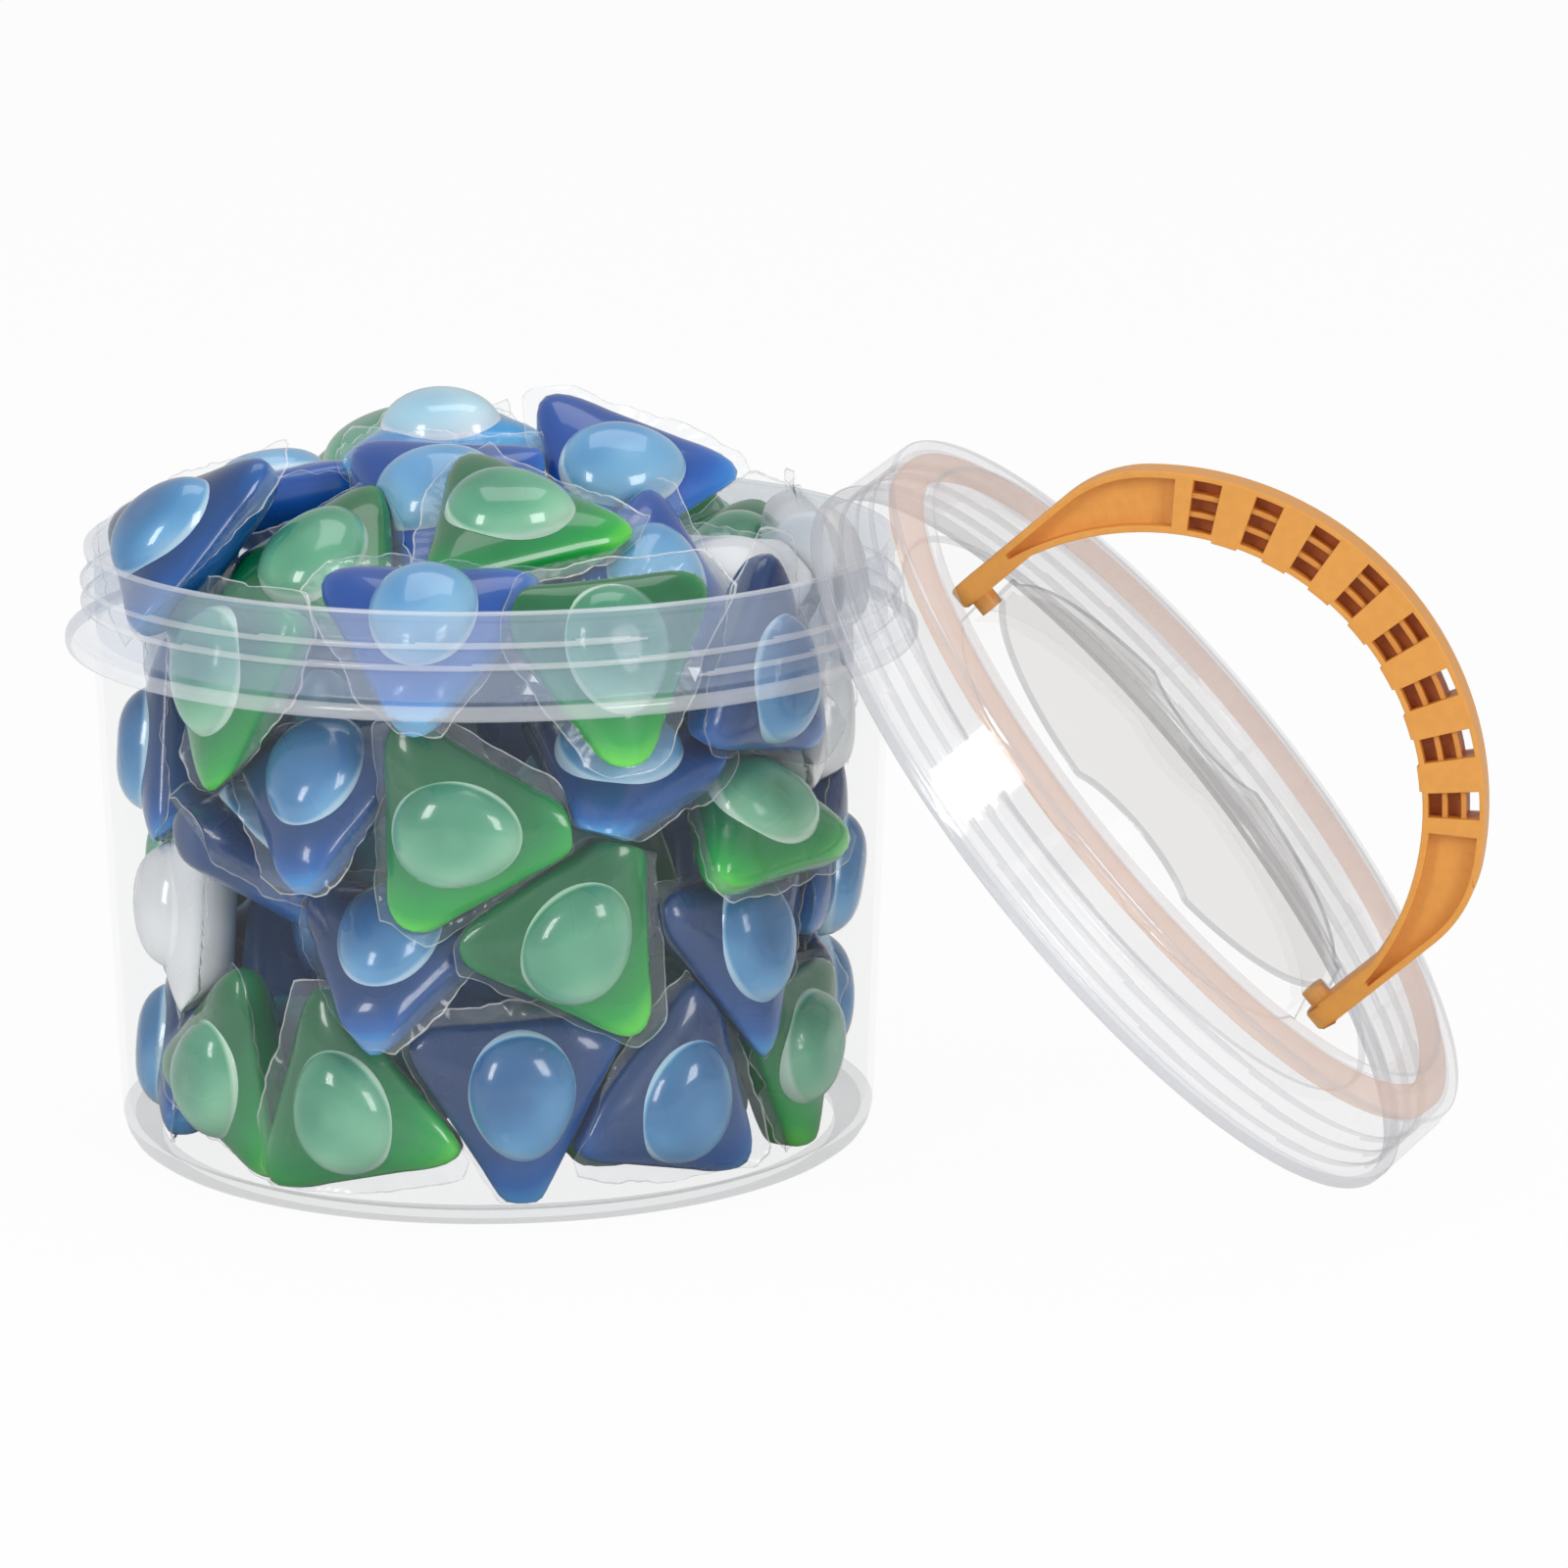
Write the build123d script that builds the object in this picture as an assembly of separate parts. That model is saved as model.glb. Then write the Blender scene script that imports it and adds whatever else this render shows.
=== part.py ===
from build123d import *
import math
import os

import numpy as np

# Laundry pod holder: a round screw-top tub full of liquid pods, with its lid off and leaning on the tub.
# Millimetres, +Z up. The origin is the centre of the tub's base, on the surface that it stands on.

# Tub
TUB_HEIGHT = 123.0
NECK_RADIUS = 81.4  # outside of the threaded neck
NECK_HEIGHT = 17.5  # from the top of the flange to the lip
LIP_RADIUS = NECK_RADIUS + 0.6  # outside of the lip bead
LIP_BEAD_HEIGHT = 2.0
FLANGE_RADIUS = NECK_RADIUS + 4.8
FLANGE_THICKNESS = 3.0
FLANGE_ROUNDING = 1.4
BODY_TOP_RADIUS = NECK_RADIUS - 0.8
BODY_BASE_RADIUS = BODY_TOP_RADIUS - 3.6
BASE_CORNER = 8.0
TUB_WALL = 1.4
TUB_FLOOR = 2.0

# Lid, measured in its own frame: z = 0 is the plane of its open edge
LID_RADIUS = NECK_RADIUS + 5.9  # outside of the bead at the open edge
LID_BEAD_HEIGHT = 3.0
SKIRT_BASE_RADIUS = LID_RADIUS - 0.6
SKIRT_TOP_RADIUS = SKIRT_BASE_RADIUS - 1.4
CREST_HEIGHT = 22.7
CREST_WIDTH = 4.0
CREST_OUTER_RADIUS = SKIRT_TOP_RADIUS - 5.8
CREST_INNER_RADIUS = CREST_OUTER_RADIUS - CREST_WIDTH
CREST_ROUNDING = 1.6
SHOULDER_HEIGHT = CREST_HEIGHT - 2.5
TROUGH_OUTER_RADIUS = CREST_INNER_RADIUS - 5.5
TROUGH_DEPTH = 10.0
TROUGH_WIDTH = 19.7
PLATEAU_RADIUS = TROUGH_OUTER_RADIUS - TROUGH_WIDTH
PLATEAU_HEIGHT = CREST_HEIGHT - 5.0
WALL_DRAFT = 0.6  # how far each trough wall leans in over its depth
LID_WALL = 1.5
GRIP_PADS = 8
GRIP_PAD_ANGLE = 29.5  # degrees round the skirt that one pad takes
GRIP_PAD_FIRST = 22.5
GRIP_PAD_PROUD = 0.5
GRIP_PAD_MARGIN = 0.6  # from a pad to the bead below it and to the shoulder above it
SCOOP_HALF_WIDTH = 16.3
SCOOP_REACH = PLATEAU_RADIUS - 11.8  # from the lid's axis to the inmost point of a finger scoop
SCOOP_DRAFT = 32.0  # degrees
PIVOT_PAD_REACH = PLATEAU_RADIUS + 0.9  # from the lid's axis to the flat end that a handle pin turns in
PIVOT_PAD_HALF_WIDTH = 9.0

# Seal ring under the lid's rim
SEAL_WIDTH = 5.6
SEAL_OUTER_RADIUS = SKIRT_TOP_RADIUS - LID_WALL - 1.2
SEAL_INNER_RADIUS = SEAL_OUTER_RADIUS - SEAL_WIDTH
SEAL_HEIGHT = 4.2

# Handle, measured in its own frame: the pivot axis is Y and the handle stands up along Z
ARM_THICKNESS = 4.7
HANDLE_DEPTH = 8.8
HANDLE_HALF_SPAN = PIVOT_PAD_REACH + 1.5 + ARM_THICKNESS
HANDLE_OUTER_RADIUS = HANDLE_HALF_SPAN + 9.4
HANDLE_BAND = 12.3
HANDLE_INNER_RADIUS = HANDLE_OUTER_RADIUS - HANDLE_BAND
PIVOT_HEIGHT = PLATEAU_HEIGHT - TROUGH_DEPTH + HANDLE_DEPTH / 2 + 0.5  # above the lid's open edge
SHOULDER_BLEND = 26.0
WINDOWS = 8
WINDOW_PITCH = 11.2  # degrees
WINDOW_ANGLE = 5.0  # degrees
WINDOW_BORDER = 1.1
WINDOW_RIB = 1.1
WINDOW_RIB_SETBACK = 1.0
WINDOW_RIB_SUNK = 0.2  # degrees that a rib reaches into the handle at each end
WINDOW_WEB = 1.2  # thickness of the wall in the middle of a window's two inner cells
GRIP_BLOCK_PROUD = 0.5  # how far the handle between two windows stands in towards the hand
GRIP_BLOCK_MARGIN = 0.4  # degrees from a block to the window next to it
POCKET_BORDER = 1.4
POCKET_DEPTH = 3.1
POCKET_FOOT = 10.0  # height of the pocket's lower point above the pivot
POCKET_GAP = 3.2  # degrees between the last window and the pocket
PIN_DIAMETER = 5.0
PIN_CLEARANCE = 0.08  # radial
PIN_REACH = LID_WALL + 0.3  # how far a pin goes in past the outside of the pivot's wall

# Lid and seal at rest beside the tub
LEAN_TILT = 48.8  # degrees between the lid's axis and the vertical
LEAN_YAW = -12.5  # degrees that the leaning lid is turned about the vertical
LEAN_BEARING = -10.8  # degrees from +X to the lid's centre, seen from the tub's axis
LEAN_CLEARANCE = 0.3
SEAT_CLEARANCE = 0.3

# Pod: a three-cornered pillow of liquid with an egg-shaped dome and a film margin
POD_RADIUS = 20.5  # from the centre to a rounded corner
POD_CORNER = 10.0  # width of the cut that stands for a rounded corner
POD_TRAY_DEPTH = 9.5
POD_TRAY_FLAT = 0.62  # size of the tray's flat bottom, as a share of the seam outline
POD_TOP_RISE = 4.0
POD_TOP_SHARE = 0.80
POD_DOME_LENGTH = 25.0
POD_DOME_WIDTH = 20.0
POD_DOME_RISE = 7.0
POD_DOME_TOP_SHARE = 0.5
POD_FILM_MARGIN = 4.0
POD_FILM_THICKNESS = 0.7
POD_CLEARANCE = 0.3

# Pods that stand against the tub's wall: colour, degrees round from the front, height of the
# centre, degrees that one corner is turned from straight up, degrees that the dome looks up
WALL_PODS = [
    ("blue", -88, 23, 0, 4), ("green", -53, 24, 20, -4), ("green", -20, 22, -14, 0), ("blue", 10, 23, 178, 3),
    ("blue", 36, 22, 14, -3), ("green", 66, 24, 62, 6), ("blue", 100, 23, 180, 0), ("green", 136, 23, 0, 4),
    ("blue", 172, 23, 178, -4), ("green", 208, 23, 4, 3), ("blue", 240, 23, 184, -3),
    ("white", -72, 54, 150, 4), ("blue", -17, 51, 180, 50), ("green", 13, 56, 28, -2),
    ("blue", 52, 46, 176, 10), ("blue", 86, 55, 20, -8), ("green", 122, 56, 0, 4), ("blue", 158, 54, 180, -5),
    ("green", 194, 56, 10, 5), ("blue", 228, 54, 190, 0), ("green", 259, 57, 0, -6),
    ("blue", -84, 86, 10, 4), ("blue", -31, 86, 168, 44), ("green", -5, 79, 90, 0), ("blue", 24, 88, 90, 60),
    ("green", 54, 70, 120, 44), ("white", 88, 84, 10, 0), ("blue", 120, 84, 180, 6), ("green", 153, 82, 0, -4),
    ("white", 186, 84, 184, 4), ("blue", 220, 84, 8, -5), ("green", 246, 84, 180, 5),
    ("green", -50, 103, 178, 10), ("blue", -6, 116, 180, 50), ("green", 21, 106, 178, 20), ("blue", 58, 99, 10, 4),
    ("white", 100, 104, 180, 12), ("green", 138, 101, 10, 14), ("blue", 178, 102, 190, 12),
    ("blue", 218, 101, 0, 14), ("white", 258, 105, 180, 10),
]

# Pods that lie on others: colour, x, y and height of the centre, degrees that the dome leans
# from straight up, the direction that it leans in, and the turn of one corner
HEAP_PODS = [
    ("blue", -52, -50, 68, 38, 342, 180), ("blue", -54, -20, 119, 46, 215, 30),
    ("blue", -47, 26, 121, 24, 120, 80), ("green", -31, -22, 123, 34, 250, 10),
    ("blue", -15, -8, 133, 40, 255, 60), ("green", 7, -30, 124, 26, 275, 100),
    ("blue", 36, -26, 120, 46, 300, 20), ("blue", 29, -2, 131, 44, 285, 90),
    ("green", 55, 26, 116, 30, 300, 40), ("blue", -10, 14, 139, 12, 250, 95),
    ("green", -32, 50, 120, 24, 200, 10), ("white", 52, -12, 116, 36, 290, 70),
    ("blue", 18, 36, 124, 22, 60, 50),
]

# Pods hidden in the middle lie flat in layers
CORE_LAYERS = 6
CORE_LAYER_HEIGHT = 16.5
CORE_PER_LAYER = 3
CORE_RADIUS = 26.0
CORE_LEAN = 6.0  # degrees
CORE_TURN = 40.0  # degrees between the directions that a layer's pods lean in
CORE_NODE = "pods_core"

# How the pods settle against each other
SETTLE_STEPS = 120
SETTLE_TOUCH = 1.0  # least depth that two pods press into each other where one lies on the other
SETTLE_DROP = 0.3  # how far a pod that touches nothing falls in one step
SETTLE_PUSH = 0.3  # share of an overlap that is undone in one step
SETTLE_HOLD = 0.12  # share of the way back to its place that a pod is drawn in one step
SETTLE_DIRECTIONS = 200
WALL_STEP = 9.0  # degrees between the flats that stand for the round wall

BAND_REACH = 4.0  # how much of a rounded corner one straight band of a turned profile covers


# Small helpers for turned profiles
def banded(before, corner, after, reach):
    """Points of a corner rounded by a few straight bands that start and end at its reach."""
    middle = np.array(corner[:2])
    start = np.array(before[:2]) - middle
    end = np.array(after[:2]) - middle
    start = start / np.linalg.norm(start) * reach
    end = end / np.linalg.norm(end) * reach
    bands = math.ceil(reach / BAND_REACH)
    points = []
    for i in range(bands + 1):
        share = i / bands
        points.append(tuple(middle + start * (1 - share) ** 2 + end * share**2))
    return points


def turned(points):
    """A solid of revolution about Z from (radius, height) points, or (radius, height, rounding)."""
    path = []
    for i, point in enumerate(points):
        if len(point) == 2:
            path.append(point)
        else:
            path += banded(points[i - 1], point, points[i + 1], point[2])
    outline = Polyline(*[(r, 0, z) for r, z in path], close=True)
    return revolve(make_face(outline), Axis.Z)


# Tub
def flange_top():
    return TUB_HEIGHT - NECK_HEIGHT


def inner_radius(height):
    """Radius of the room inside at one height: one straight taper from the floor to the lip."""
    share = height / TUB_HEIGHT
    foot = BODY_BASE_RADIUS - TUB_WALL
    return foot + (NECK_RADIUS - TUB_WALL - foot) * share


def make_tub():
    top = flange_top()
    under = top - FLANGE_THICKNESS
    bead = TUB_HEIGHT - LIP_BEAD_HEIGHT
    outer = turned([
        (0, 0), (BODY_BASE_RADIUS, 0, BASE_CORNER), (BODY_TOP_RADIUS, under), (FLANGE_RADIUS, under),
        (FLANGE_RADIUS, top, FLANGE_ROUNDING), (NECK_RADIUS, top), (NECK_RADIUS, bead),
        (LIP_RADIUS, bead), (LIP_RADIUS, TUB_HEIGHT), (0, TUB_HEIGHT),
    ])
    inner = turned([
        (0, TUB_FLOOR), (inner_radius(TUB_FLOOR), TUB_FLOOR, BASE_CORNER - TUB_WALL),
        (inner_radius(TUB_HEIGHT), TUB_HEIGHT), (0, TUB_HEIGHT),
    ])
    return outer - inner


# Lid
def trough_floor():
    return PLATEAU_HEIGHT - TROUGH_DEPTH


def lid_outline():
    """Outside of the lid in section, from the axis out to the open edge."""
    floor = trough_floor()
    return [
        (0, PLATEAU_HEIGHT), (PLATEAU_RADIUS, PLATEAU_HEIGHT), (PLATEAU_RADIUS + WALL_DRAFT, floor),
        (TROUGH_OUTER_RADIUS - WALL_DRAFT, floor), (TROUGH_OUTER_RADIUS, PLATEAU_HEIGHT),
        (CREST_INNER_RADIUS, CREST_HEIGHT), (CREST_OUTER_RADIUS, CREST_HEIGHT),
        (SKIRT_TOP_RADIUS, SHOULDER_HEIGHT, CREST_ROUNDING), (SKIRT_BASE_RADIUS, LID_BEAD_HEIGHT),
        (LID_RADIUS, LID_BEAD_HEIGHT), (LID_RADIUS, 0), (0, 0),
    ]


def ceiling_ends():
    """Where the room under the rim starts to slope down and where it meets the skirt, in section."""
    return [
        (CREST_OUTER_RADIUS - LID_WALL / 3, CREST_HEIGHT - LID_WALL),
        (SKIRT_TOP_RADIUS - LID_WALL, SHOULDER_HEIGHT - LID_WALL),
    ]


def lid_void_outline():
    """Room under the lid in section: the outside moved in by the wall."""
    floor = trough_floor() - LID_WALL
    ceiling = PLATEAU_HEIGHT - LID_WALL
    inner_wall = PLATEAU_RADIUS - LID_WALL
    outer_wall = TROUGH_OUTER_RADIUS + LID_WALL
    return [
        (0, ceiling), (inner_wall, ceiling), (inner_wall + WALL_DRAFT, floor),
        (outer_wall - WALL_DRAFT, floor), (outer_wall, ceiling),
        (CREST_INNER_RADIUS + LID_WALL / 2, CREST_HEIGHT - LID_WALL), *ceiling_ends(),
        (SKIRT_BASE_RADIUS - LID_WALL, 0),
        (SKIRT_BASE_RADIUS - LID_WALL, -1), (0, -1),
    ]


def scoop_cone(grown):
    """The cone that a finger scoop is cut with, or its wall when it is grown, at local +X."""
    kink = math.sqrt(PLATEAU_RADIUS**2 - SCOOP_HALF_WIDTH**2)
    depth = kink - SCOOP_REACH
    radius = (SCOOP_HALF_WIDTH**2 + depth**2) / (2 * depth)
    slope = math.tan(math.radians(SCOOP_DRAFT))
    low = trough_floor() - LID_WALL * 2
    high = CREST_HEIGHT + 1
    base = radius - (PLATEAU_HEIGHT - low) * slope + grown
    top = radius + (high - PLATEAU_HEIGHT) * slope + grown
    cone = Pos(SCOOP_REACH + radius, 0, low) * Cone(
        base, top, high - low, align=(Align.CENTER, Align.CENTER, Align.MIN))
    foot = trough_floor() if grown == 0 else low
    reach = PLATEAU_RADIUS + WALL_DRAFT + 0.5
    room = Cylinder(reach, high - foot, align=(Align.CENTER, Align.CENTER, Align.MIN))
    return cone & Pos(0, 0, foot) * room


def pivot_pad(shrunk):
    """The flat-ended block at local +Y that a pin turns in, or the room inside it."""
    floor = trough_floor() - shrunk
    ceiling = PLATEAU_HEIGHT - shrunk
    reach = PIVOT_PAD_REACH - shrunk
    width = 2 * (PIVOT_PAD_HALF_WIDTH - shrunk)
    depth = PIVOT_PAD_REACH - PLATEAU_RADIUS + LID_WALL * 3
    block = Box(width, depth, ceiling - floor, align=(Align.CENTER, Align.MAX, Align.MIN))
    return Pos(0, reach, floor) * block


def grip_pad():
    """One raised pad on the skirt, at local +X."""
    low = LID_BEAD_HEIGHT + GRIP_PAD_MARGIN
    high = SHOULDER_HEIGHT - CREST_ROUNDING - GRIP_PAD_MARGIN
    foot = skirt_radius(low)
    head = skirt_radius(high)
    sunk = LID_WALL / 3
    section = Polyline(
        (foot - sunk, 0, low), (foot + GRIP_PAD_PROUD, 0, low), (head + GRIP_PAD_PROUD, 0, high),
        (head - sunk, 0, high), close=True)
    pad = revolve(make_face(section), Axis.Z, revolution_arc=GRIP_PAD_ANGLE)
    return Rot(0, 0, -GRIP_PAD_ANGLE / 2) * pad


def skirt_radius(height):
    """Outside radius of the skirt between its bead and its shoulder."""
    share = (height - LID_BEAD_HEIGHT) / (SHOULDER_HEIGHT - LID_BEAD_HEIGHT)
    return SKIRT_BASE_RADIUS + (SKIRT_TOP_RADIUS - SKIRT_BASE_RADIUS) * share


def make_lid():
    outer = turned(lid_outline())
    void = turned(lid_void_outline())
    for turn in (0, 180):
        outer = outer + Rot(0, 0, turn) * pivot_pad(0)
        void = void + Rot(0, 0, turn) * pivot_pad(LID_WALL)
    for turn in (0, 180):
        outer = outer - Rot(0, 0, turn) * scoop_cone(0)
        void = void - Rot(0, 0, turn) * scoop_cone(LID_WALL)
    lid = outer - void
    for i in range(GRIP_PADS):
        lid = lid + Rot(0, 0, GRIP_PAD_FIRST + i * 360 / GRIP_PADS) * grip_pad()
    length = 2 * (PIVOT_PAD_REACH + LID_WALL)
    bore = Cylinder(PIN_DIAMETER / 2 + PIN_CLEARANCE, length, rotation=(90, 0, 0))
    return lid - Pos(0, 0, PIVOT_HEIGHT) * bore


def plain_lid():
    """The lid without its fine features, for finding where it comes to rest."""
    return turned(lid_outline()) - turned(lid_void_outline())


# Seal ring
def make_seal():
    """A soft ring that sits under the rim, its outer top edge cut to follow the ceiling."""
    (flat, ceiling), (wall, low) = ceiling_ends()
    slope = (ceiling - low) / (wall - flat)
    ceiling -= SEAT_CLEARANCE
    edge = ceiling - slope * (SEAL_OUTER_RADIUS - flat)
    base = ceiling - SEAL_HEIGHT
    return turned([
        (SEAL_INNER_RADIUS, base), (SEAL_OUTER_RADIUS, base), (SEAL_OUTER_RADIUS, edge),
        (flat, ceiling), (SEAL_INNER_RADIUS, ceiling),
    ])


# Handle: outline in the YZ plane, drawn as x = local y and y = height above the pivot
def handle_outline():
    """The arched band with its two straight arms."""
    band = Circle(HANDLE_OUTER_RADIUS) & Rectangle(2 * HANDLE_HALF_SPAN, 4 * HANDLE_OUTER_RADIUS)
    corners = band.vertices().filter_by_position(Axis.Y, 1, HANDLE_OUTER_RADIUS)
    band = fillet(corners, SHOULDER_BLEND)
    below = Pos(0, -HANDLE_OUTER_RADIUS) * Rectangle(4 * HANDLE_OUTER_RADIUS, 2 * HANDLE_OUTER_RADIUS)
    band = band - below
    feet = Pos(0, -HANDLE_DEPTH / 4) * Rectangle(2 * HANDLE_HALF_SPAN, HANDLE_DEPTH / 2)
    band = band + feet
    arm_inside = HANDLE_HALF_SPAN - ARM_THICKNESS
    room_top = math.sqrt(HANDLE_INNER_RADIUS**2 - arm_inside**2)
    room = Circle(HANDLE_INNER_RADIUS) & Rectangle(2 * arm_inside, 4 * HANDLE_INNER_RADIUS)
    lower = Pos(0, room_top / 2 - HANDLE_DEPTH) * Rectangle(2 * arm_inside, room_top + 2 * HANDLE_DEPTH)
    return band - (room + lower)


def in_handle_plane(sketch):
    """Puts a sketch of the handle's outline into the YZ plane."""
    return Plane.YZ * sketch


def thick(sketch, depth):
    """A slab of the handle, equally deep on both sides of its middle plane."""
    return extrude(in_handle_plane(sketch), depth / 2, both=True)


def sector(inner, outer, middle, width):
    """A piece of a ring, from its middle angle and its width in degrees, measured from straight up."""
    half = math.radians(width / 2)
    turn = math.radians(middle)
    corners = []
    for radius, side in ((inner, -1), (outer, -1), (outer, 1), (inner, 1)):
        angle = turn + side * half
        corners.append((radius * math.sin(angle), radius * math.cos(angle)))
    mid_out = (outer * math.sin(turn), outer * math.cos(turn))
    mid_in = (inner * math.sin(turn), inner * math.cos(turn))
    edges = [
        Line(corners[0], corners[1]), ThreePointArc(corners[1], mid_out, corners[2]),
        Line(corners[2], corners[3]), ThreePointArc(corners[3], mid_in, corners[0]),
    ]
    return make_face(Wire(edges))


def window_middle(i):
    return (i - (WINDOWS - 1) / 2) * WINDOW_PITCH


def pocket():
    """One of the long hollows in the wings, on the +Y side."""
    start = window_middle(WINDOWS - 1) + WINDOW_ANGLE / 2 + POCKET_GAP
    ring = Circle(HANDLE_OUTER_RADIUS) & Rectangle(2 * HANDLE_HALF_SPAN, 4 * HANDLE_OUTER_RADIUS)
    ring = fillet(ring.vertices().filter_by_position(Axis.Y, 1, HANDLE_OUTER_RADIUS), SHOULDER_BLEND)
    ring = offset(ring, -POCKET_BORDER, kind=Kind.INTERSECTION)
    ring = ring - Circle(HANDLE_INNER_RADIUS + POCKET_BORDER)
    reach = 2 * HANDLE_OUTER_RADIUS
    edge = math.radians(start)
    wedge = Polyline(
        (0, POCKET_FOOT), (reach, POCKET_FOOT), (reach, reach * math.cos(edge)),
        (reach * math.sin(edge), reach * math.cos(edge)), (0, 0), close=True)
    shape = ring & make_face(wedge)
    return shape


def mirrored(part):
    return part.mirror(Plane.XZ)


def make_handle():
    body = thick(handle_outline(), HANDLE_DEPTH)
    upper = Pos(0, 0, HANDLE_OUTER_RADIUS) * Box(
        HANDLE_DEPTH, 4 * HANDLE_OUTER_RADIUS, 2 * HANDLE_OUTER_RADIUS)
    round_end = Cylinder(HANDLE_DEPTH / 2, 4 * HANDLE_OUTER_RADIUS, rotation=(90, 0, 0))
    body = body & (upper + round_end)
    hollow = thick(pocket(), HANDLE_DEPTH) - thick(pocket(), HANDLE_DEPTH - 2 * POCKET_DEPTH)
    body = body - hollow - mirrored(hollow)
    foot = HANDLE_INNER_RADIUS + WINDOW_BORDER
    room = HANDLE_BAND - 2 * WINDOW_BORDER - 2 * WINDOW_RIB
    cell = room / 3
    sunk = WINDOW_ANGLE + 2 * WINDOW_RIB_SUNK
    for i in range(WINDOWS):
        window = sector(foot, HANDLE_OUTER_RADIUS - WINDOW_BORDER, window_middle(i), WINDOW_ANGLE)
        body = body - thick(window, 2 * HANDLE_DEPTH)
        for k in (1, 2):
            low = foot + k * cell + (k - 1) * WINDOW_RIB
            rib = sector(low, low + WINDOW_RIB, window_middle(i), sunk)
            body = body + thick(rib, HANDLE_DEPTH - 2 * WINDOW_RIB_SETBACK)
        web = sector(HANDLE_INNER_RADIUS, foot + 2 * cell + WINDOW_RIB, window_middle(i), sunk)
        body = body + thick(web, WINDOW_WEB)
    for i in range(WINDOWS - 1):
        block = sector(HANDLE_INNER_RADIUS - GRIP_BLOCK_PROUD, foot, window_middle(i + 0.5),
                       WINDOW_PITCH - WINDOW_ANGLE - 2 * GRIP_BLOCK_MARGIN)
        body = body + thick(block, HANDLE_DEPTH)
    return body + handle_pin() + mirrored(handle_pin())


def handle_pin():
    """The short pin on the inner side of the +Y arm, which springs into the lid."""
    root = HANDLE_HALF_SPAN - ARM_THICKNESS / 2
    tip = PIVOT_PAD_REACH - PIN_REACH
    return Pos(0, (root + tip) / 2, 0) * Cylinder(PIN_DIAMETER / 2, root - tip, rotation=(90, 0, 0))


# Pods
def pod_loop(share, z, grow=0.0):
    """The six corners of a triangle with cut corners, at one height of the pod."""
    side = math.pi * 2 / 3
    points = []
    reach = POD_RADIUS * share + grow
    half = POD_CORNER * share / 2
    for i in range(3):
        angle = math.pi / 2 + i * side
        along = (math.cos(angle), math.sin(angle))
        across = (-along[1], along[0])
        for step in (-half, half):
            points.append((reach * along[0] + step * across[0], reach * along[1] + step * across[1], z))
    return points


def dome_loop(share, z):
    """The long shape of the dome with its six corners, at one height of the pod."""
    points = []
    for i in range(6):
        angle = math.radians(30 + 60 * i)
        points.append((
            share * POD_DOME_WIDTH / 2 * math.cos(angle), share * POD_DOME_LENGTH / 2 * math.sin(angle), z))
    return points


def pod_layers():
    """The outlines that the pod's body is lofted through, from the tray's floor to the dome's top."""
    dome_foot = POD_TOP_RISE
    dome_top = POD_TOP_RISE + POD_DOME_RISE
    return [
        (pod_loop(POD_TRAY_FLAT, -POD_TRAY_DEPTH), pod_loop(1, 0)),
        (pod_loop(1, 0), pod_loop(POD_TOP_SHARE, dome_foot)),
        (dome_loop(1, dome_foot), dome_loop(POD_DOME_TOP_SHARE, dome_top)),
    ]


def frustum(low, high):
    """A solid between two level outlines with the same number of corners."""
    faces = [make_face(Polyline(*low, close=True)), make_face(Polyline(*high, close=True))]
    for i in range(len(low)):
        k = (i + 1) % len(low)
        faces.append(make_face(Polyline(low[i], low[k], high[k], high[i], close=True)))
    return Solid(Shell(faces))


def make_pillow():
    """One pod without its film, about its seam plane, its dome along +Z and one corner along +Y."""
    pod = None
    for low, high in pod_layers():
        block = frustum(low, high)
        pod = block if pod is None else pod + block
    return pod


def make_pod():
    """One whole pod: the pillow and the film that stands out round its seam."""
    half = POD_FILM_THICKNESS / 2
    film = frustum(pod_loop(1, -half, POD_FILM_MARGIN), pod_loop(1, half, POD_FILM_MARGIN))
    return make_pillow() + film


def pod_corners():
    """Every corner of the pod's body, without its film."""
    corners = []
    for low, high in pod_layers():
        corners += low + high
    return np.array(corners)


def turned_plane(centre, level, normal, turn):
    """A frame with one corner turned from its uphill direction, clockwise as seen from the dome."""
    angle = math.radians(turn)
    uphill = normal.cross(level)
    return Plane(origin=centre, x_dir=level * math.cos(angle) - uphill * math.sin(angle), z_dir=normal)


def turn_matrix(frame):
    """The rows that turn a pod's own coordinates into the tub's."""
    return np.array([list(frame.x_dir), list(frame.y_dir), list(frame.z_dir)])


def wall_plane(angle, height, turn, look_up):
    """The frame of a pod that stands against the wall, its dome outwards."""
    side = math.radians(angle)
    up = math.radians(look_up)
    out = np.array([math.sin(side), -math.cos(side), 0])
    normal = Vector(out[0] * math.cos(up), out[1] * math.cos(up), math.sin(up))
    level = Vector(math.cos(side), math.sin(side), 0)
    frame = turned_plane((0, 0, height), level, normal, turn)
    reach = inner_radius(height) - (pod_corners() @ turn_matrix(frame) @ out).max()
    frame.origin = Vector(out[0] * reach, out[1] * reach, height)
    return frame


def heap_plane(x, y, height, lean, toward, turn):
    """The frame of a pod that lies on others, its dome upwards."""
    tilt = math.radians(lean)
    side = math.radians(toward)
    normal = Vector(math.sin(tilt) * math.cos(side), math.sin(tilt) * math.sin(side), math.cos(tilt))
    level = Vector(-math.sin(side), math.cos(side), 0)
    return turned_plane((x, y, height), level, normal, turn)


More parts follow.
